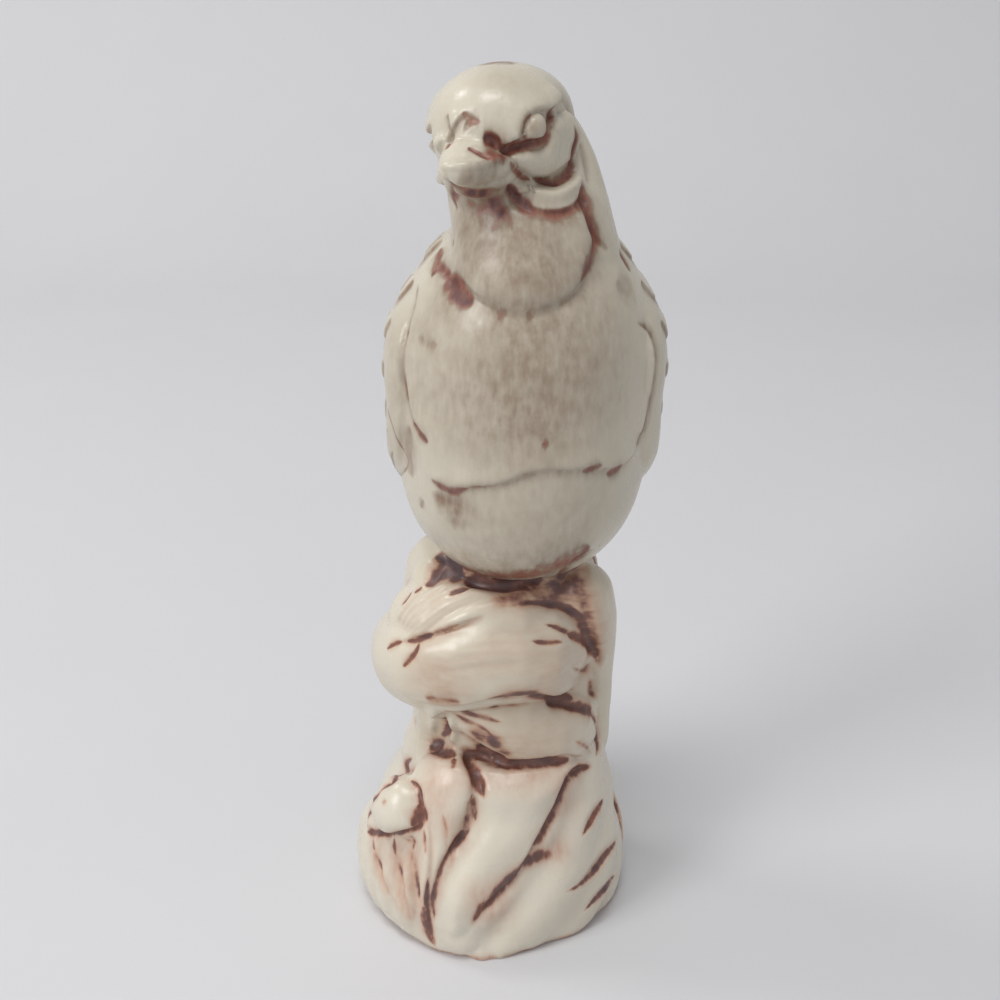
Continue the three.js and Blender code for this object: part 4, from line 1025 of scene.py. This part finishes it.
BUD_UNDER = ((366, 832), (382, 833), (400, 834), (414, 830), (425, 822))
BUD_SLIT = ((381, 804), (387, 800))
DRIPS = (
    ((373, 835), (375, 852)), ((394, 836), (395, 857)), ((411, 834), (412, 852)), ((424, 826), (426, 856)),
)
FLUTES = (
    ((374, 850), (380, 872), (392, 896)), ((394, 848), (400, 880), (414, 924)),
    ((411, 846), (415, 880), (421, 915)),
)
FLUTE_RIDGES = (((384, 860), (389, 888), (403, 913)), ((404, 856), (409, 892), (415, 926)))
DIAGONAL = (
    (472, 927), (482, 910), (495, 896), (512, 880), (525, 860), (534, 843), (545, 822), (555, 803),
    (565, 781), (575, 768), (594, 764),
)
DIAGONAL_TOP = ((594, 766), (582, 769), (571, 777), (562, 792), (553, 812))
DIAGONAL_MID = ((565, 788), (556, 810), (547, 828), (533, 850))
RED_STREAK = ((470, 927), (480, 910), (493, 897), (508, 881), (521, 866), (531, 854))
SLITS = (
    ((604, 797), (597, 811), (589, 825), (581, 838)),
    ((617, 835), (608, 852), (598, 866), (586, 880), (563, 893)),
    ((616, 874), (606, 888), (594, 901), (582, 913)),
)
LOBE = (
    (476, 790), (490, 777), (556, 776), (562, 786), (550, 808), (540, 830), (520, 860), (495, 890),
    (478, 914), (466, 936), (445, 936), (437, 900), (444, 876), (456, 855), (470, 834), (477, 812),
)
FOOT_SWELL = ((440, 935), (462, 945), (482, 950), (505, 950), (525, 946))
FOOT_NOTCH = ((466, 948), (481, 951), (496, 951))
FOOT_LINE = 0.7


def carve_block(skin, view):
    view.pad(LOBE, 1.7, 6.0, edge=1.6)
    view.stroke(FOOT_SWELL, 5.0, -1.6, taper=0.5)
    view.stroke(FOOT_NOTCH, 2.5, -1.3, taper=0.5)
    view.pad(BUD, 0.9, 2.4, 0.3)
    skin.settle()
    view.fold(TONGUE_EDGE[::-1], -0.3, 0.6, 1.4)
    view.stroke(TONGUE_EDGE, 0.6, 0.8, 0.95, taper=0.3)
    view.stroke(TONGUE_WEDGE, 0.9, 0.5, 1.0)
    view.stroke(TONGUE_NECK, 0.6, 0.5, 1.0)
    view.stroke(TONGUE_DARK, 1.2, 1.1, 1.15, taper=0.35)
    view.fold(TONGUE_LEFT[::-1], 0.3, 0.7, 1.1, 0.4, bleed=0.8)
    view.stroke(TONGUE_LEFT[2:], 0.6, 0.3, 1.0)
    view.stroke(TONGUE_BAND, 0.9, 0.3, 0.95)
    view.strokes(TONGUE_LINES, 0.4, 0.3, 0.55)
    view.stroke(TONGUE_SPOT, 0.55, 0.3, 0.9)
    view.stroke(SLOT_LEFT, 0.6, 0.6, 1.0, taper=0.15)
    view.stroke(SLOT_LEFT_TOP, 0.8, 0.7, 1.05)
    view.stroke(BUD_RIGHT, 0.55, 0.8, 1.05, taper=0.25)
    view.stroke(BUD_SHADE, 1.2, 0.3, 1.05)
    view.stroke(BUD_UNDER, 0.75, 0.8, 1.1, taper=0.15)
    view.stroke(BUD_SLIT, 0.4, 0.2, 0.7)
    view.strokes(DRIPS, 0.5, 0.2, 0.85, taper=0.6)
    view.strokes(FLUTES, 1.1, 0.9, 0.25, wash=0.7)
    view.strokes(FLUTE_RIDGES, 0.9, -0.5)
    view.fold(DIAGONAL, 0.8, 1.2, 2.6, 0.4, bleed=1.2, wash=0.9)
    view.stroke(DIAGONAL_TOP, 1.3, 0.9, 1.1, taper=0.35)
    view.stroke(DIAGONAL_MID, 1.1, 0.3, 0.95, taper=0.2)
    view.stroke(RED_STREAK, 1.35, 0.5, 1.1)
    for slit in SLITS:
        view.fold(slit, 0.5, 0.7, 1.4, 0.3, bleed=0.7, taper=0.5)
        view.stroke(slit, 0.55, 0.4, 1.1)
    view.mists(STUMP_MISTS)
    skin.ease(1)
    rim = [skin.around(turn, FOOT_LINE) for turn in range(0, 361, 15)]
    skin.stroke(rim, 0.5, 0.1, 0.7, taper=0.01)


# The sides and the back, in degrees round from the front and millimetres up.
SCALLOP_ROWS = ((161, 88, 127), (153, 86, 138), (145, 84, 143), (136, 84, 149))
SCALLOP_SPAN = 13
SCALLOP_DROP = 5
FEATHER_STARTS = ((84, 128), (99, 132), (114, 136), (129, 138), (143, 140))
FEATHER_MIDDLES = ((104, 112), (118, 114), (132, 116), (144, 118), (153, 122))
FEATHER_ENDS = ((140, 96), (147, 97), (153, 99), (158, 102), (162, 108))
BACK_ROWS = ((166, 164, 196), (157, 160, 200), (148, 164, 196), (139, 160, 200), (130, 164, 196))
TAIL_TURNS = (-17, -10, -3, 4, 11, 18)
TAIL_RUN = ((0.9, 106), (1, 80), (0.8, 52))
BARK_TURNS = (96, 108, 122, 135, 222, 236, 249)
BARK_TOP = 92
BARK_FOOT = 50
ROOT_TURNS = (118, 140, 163, 187, 210, 234, 258)
ROOT_TOP = 46
ROOT_FOOT = 7
ROOT_SWING = 30


def scallops(skin, height, first, last, mirror=1):
    """A row of overlapping feather tips round the skin at one height."""
    count = max(1, round((last - first) / SCALLOP_SPAN))
    span = (last - first) / count
    for step in range(count):
        start = first + step * span
        turns = [mirror * (start + share * span) for share in (0.0, 0.25, 0.5, 0.75, 1.0)]
        drops = (0, 0.75, 1, 0.75, 0)
        places = [skin.around(turn, height - drop * SCALLOP_DROP) for turn, drop in zip(turns, drops)]
        skin.fold(places[::mirror], 0.45, 0.45, 1.0, 0.3, bleed=1.2, wash=0.8, taper=0.15)


def carve_back(skin):
    for mirror in (1, -1):
        for height, first, last in SCALLOP_ROWS:
            scallops(skin, height, first, last, mirror)
        for feather in zip(FEATHER_STARTS, FEATHER_MIDDLES, FEATHER_ENDS):
            places = [skin.around(mirror * turn, height) for turn, height in feather]
            skin.fold(places[::mirror], 0.5, 0.5, 1.0, 0.5, bleed=1.2, wash=0.9)
    for height, first, last in BACK_ROWS:
        scallops(skin, height, first, last)
    for turn in TAIL_TURNS:
        places = [skin.around(180 + turn * share, height) for share, height in TAIL_RUN]
        skin.stroke(places, 0.8, 0.6, 0.6, wash=0.9, taper=0.2)
    for step, turn in enumerate(BARK_TURNS):
        wobble = 4 * sin(step * 2.3)
        heights = np.linspace(BARK_TOP - 3 * (step % 3), BARK_FOOT + 4 * (step % 2), 4)
        places = [skin.around(turn + wobble * (-1) ** k, height) for k, height in enumerate(heights)]
        skin.stroke(places, 1.1, 1.0, 0.8, wash=0.8, taper=0.35)
    for step, turn in enumerate(ROOT_TURNS):
        heights = np.linspace(ROOT_TOP - 4 * (step % 3), ROOT_FOOT + 5 * (step % 2), 4)
        turns = [turn - ROOT_SWING * k / 3 + 4 * sin(step) for k in range(len(heights))]
        places = [skin.around(*place) for place in zip(turns, heights)]
        skin.fold(places, 0.7, 1.1, 1.8, 0.75, bleed=1.6, wash=0.9, taper=0.35)
    skin.ease(1)


skin = Skin(joined_forms())
view = View(skin)
carve_face(skin, view)
carve_bib(view)
carve_breast(view)
carve_coils(skin, view)
carve_block(skin, view)
carve_back(skin)
skin.untangle()
skin.hollow_stain()
pieces = skin.part()
# The film colours are darkened so that the film also paints soft shade, in part over the neck and breast.
ivory = glazed_earthenware(
    "ivory_glazed_earthenware", "D3CBBB", "C2BAA6", "8E7A67", BIRD_STAIN_AND_SHADE_TONES, (1, 1, 0.35)
)
coiled = glazed_earthenware(
    "coil_glazed_earthenware", "DCD4C4", "CABFAA", "B8957C", STUMP_STAIN_AND_SHADE_TONES, (0.3, 0.3, 1), (0, COIL_LEAN, 0)
)
rooted = glazed_earthenware(
    "root_glazed_earthenware", "E0D9CA", "CFC6B3", "C29C86", STUMP_STAIN_AND_SHADE_TONES, (1, 1, 0.2), (0, ROOT_LEAN, 0)
)
clay = bare_clay()
for name, piece in pieces.items():
    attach(piece, "root")
    piece.data.materials.clear()
    if name == "bare_foot":
        piece.data.materials.append(clay)
        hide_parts("root_plinth")
        continue
    piece.data.materials.append(coiled if name in COILS else rooted if name in ROOTS else ivory)
    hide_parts(name)

backdrop()
studio()
camera()
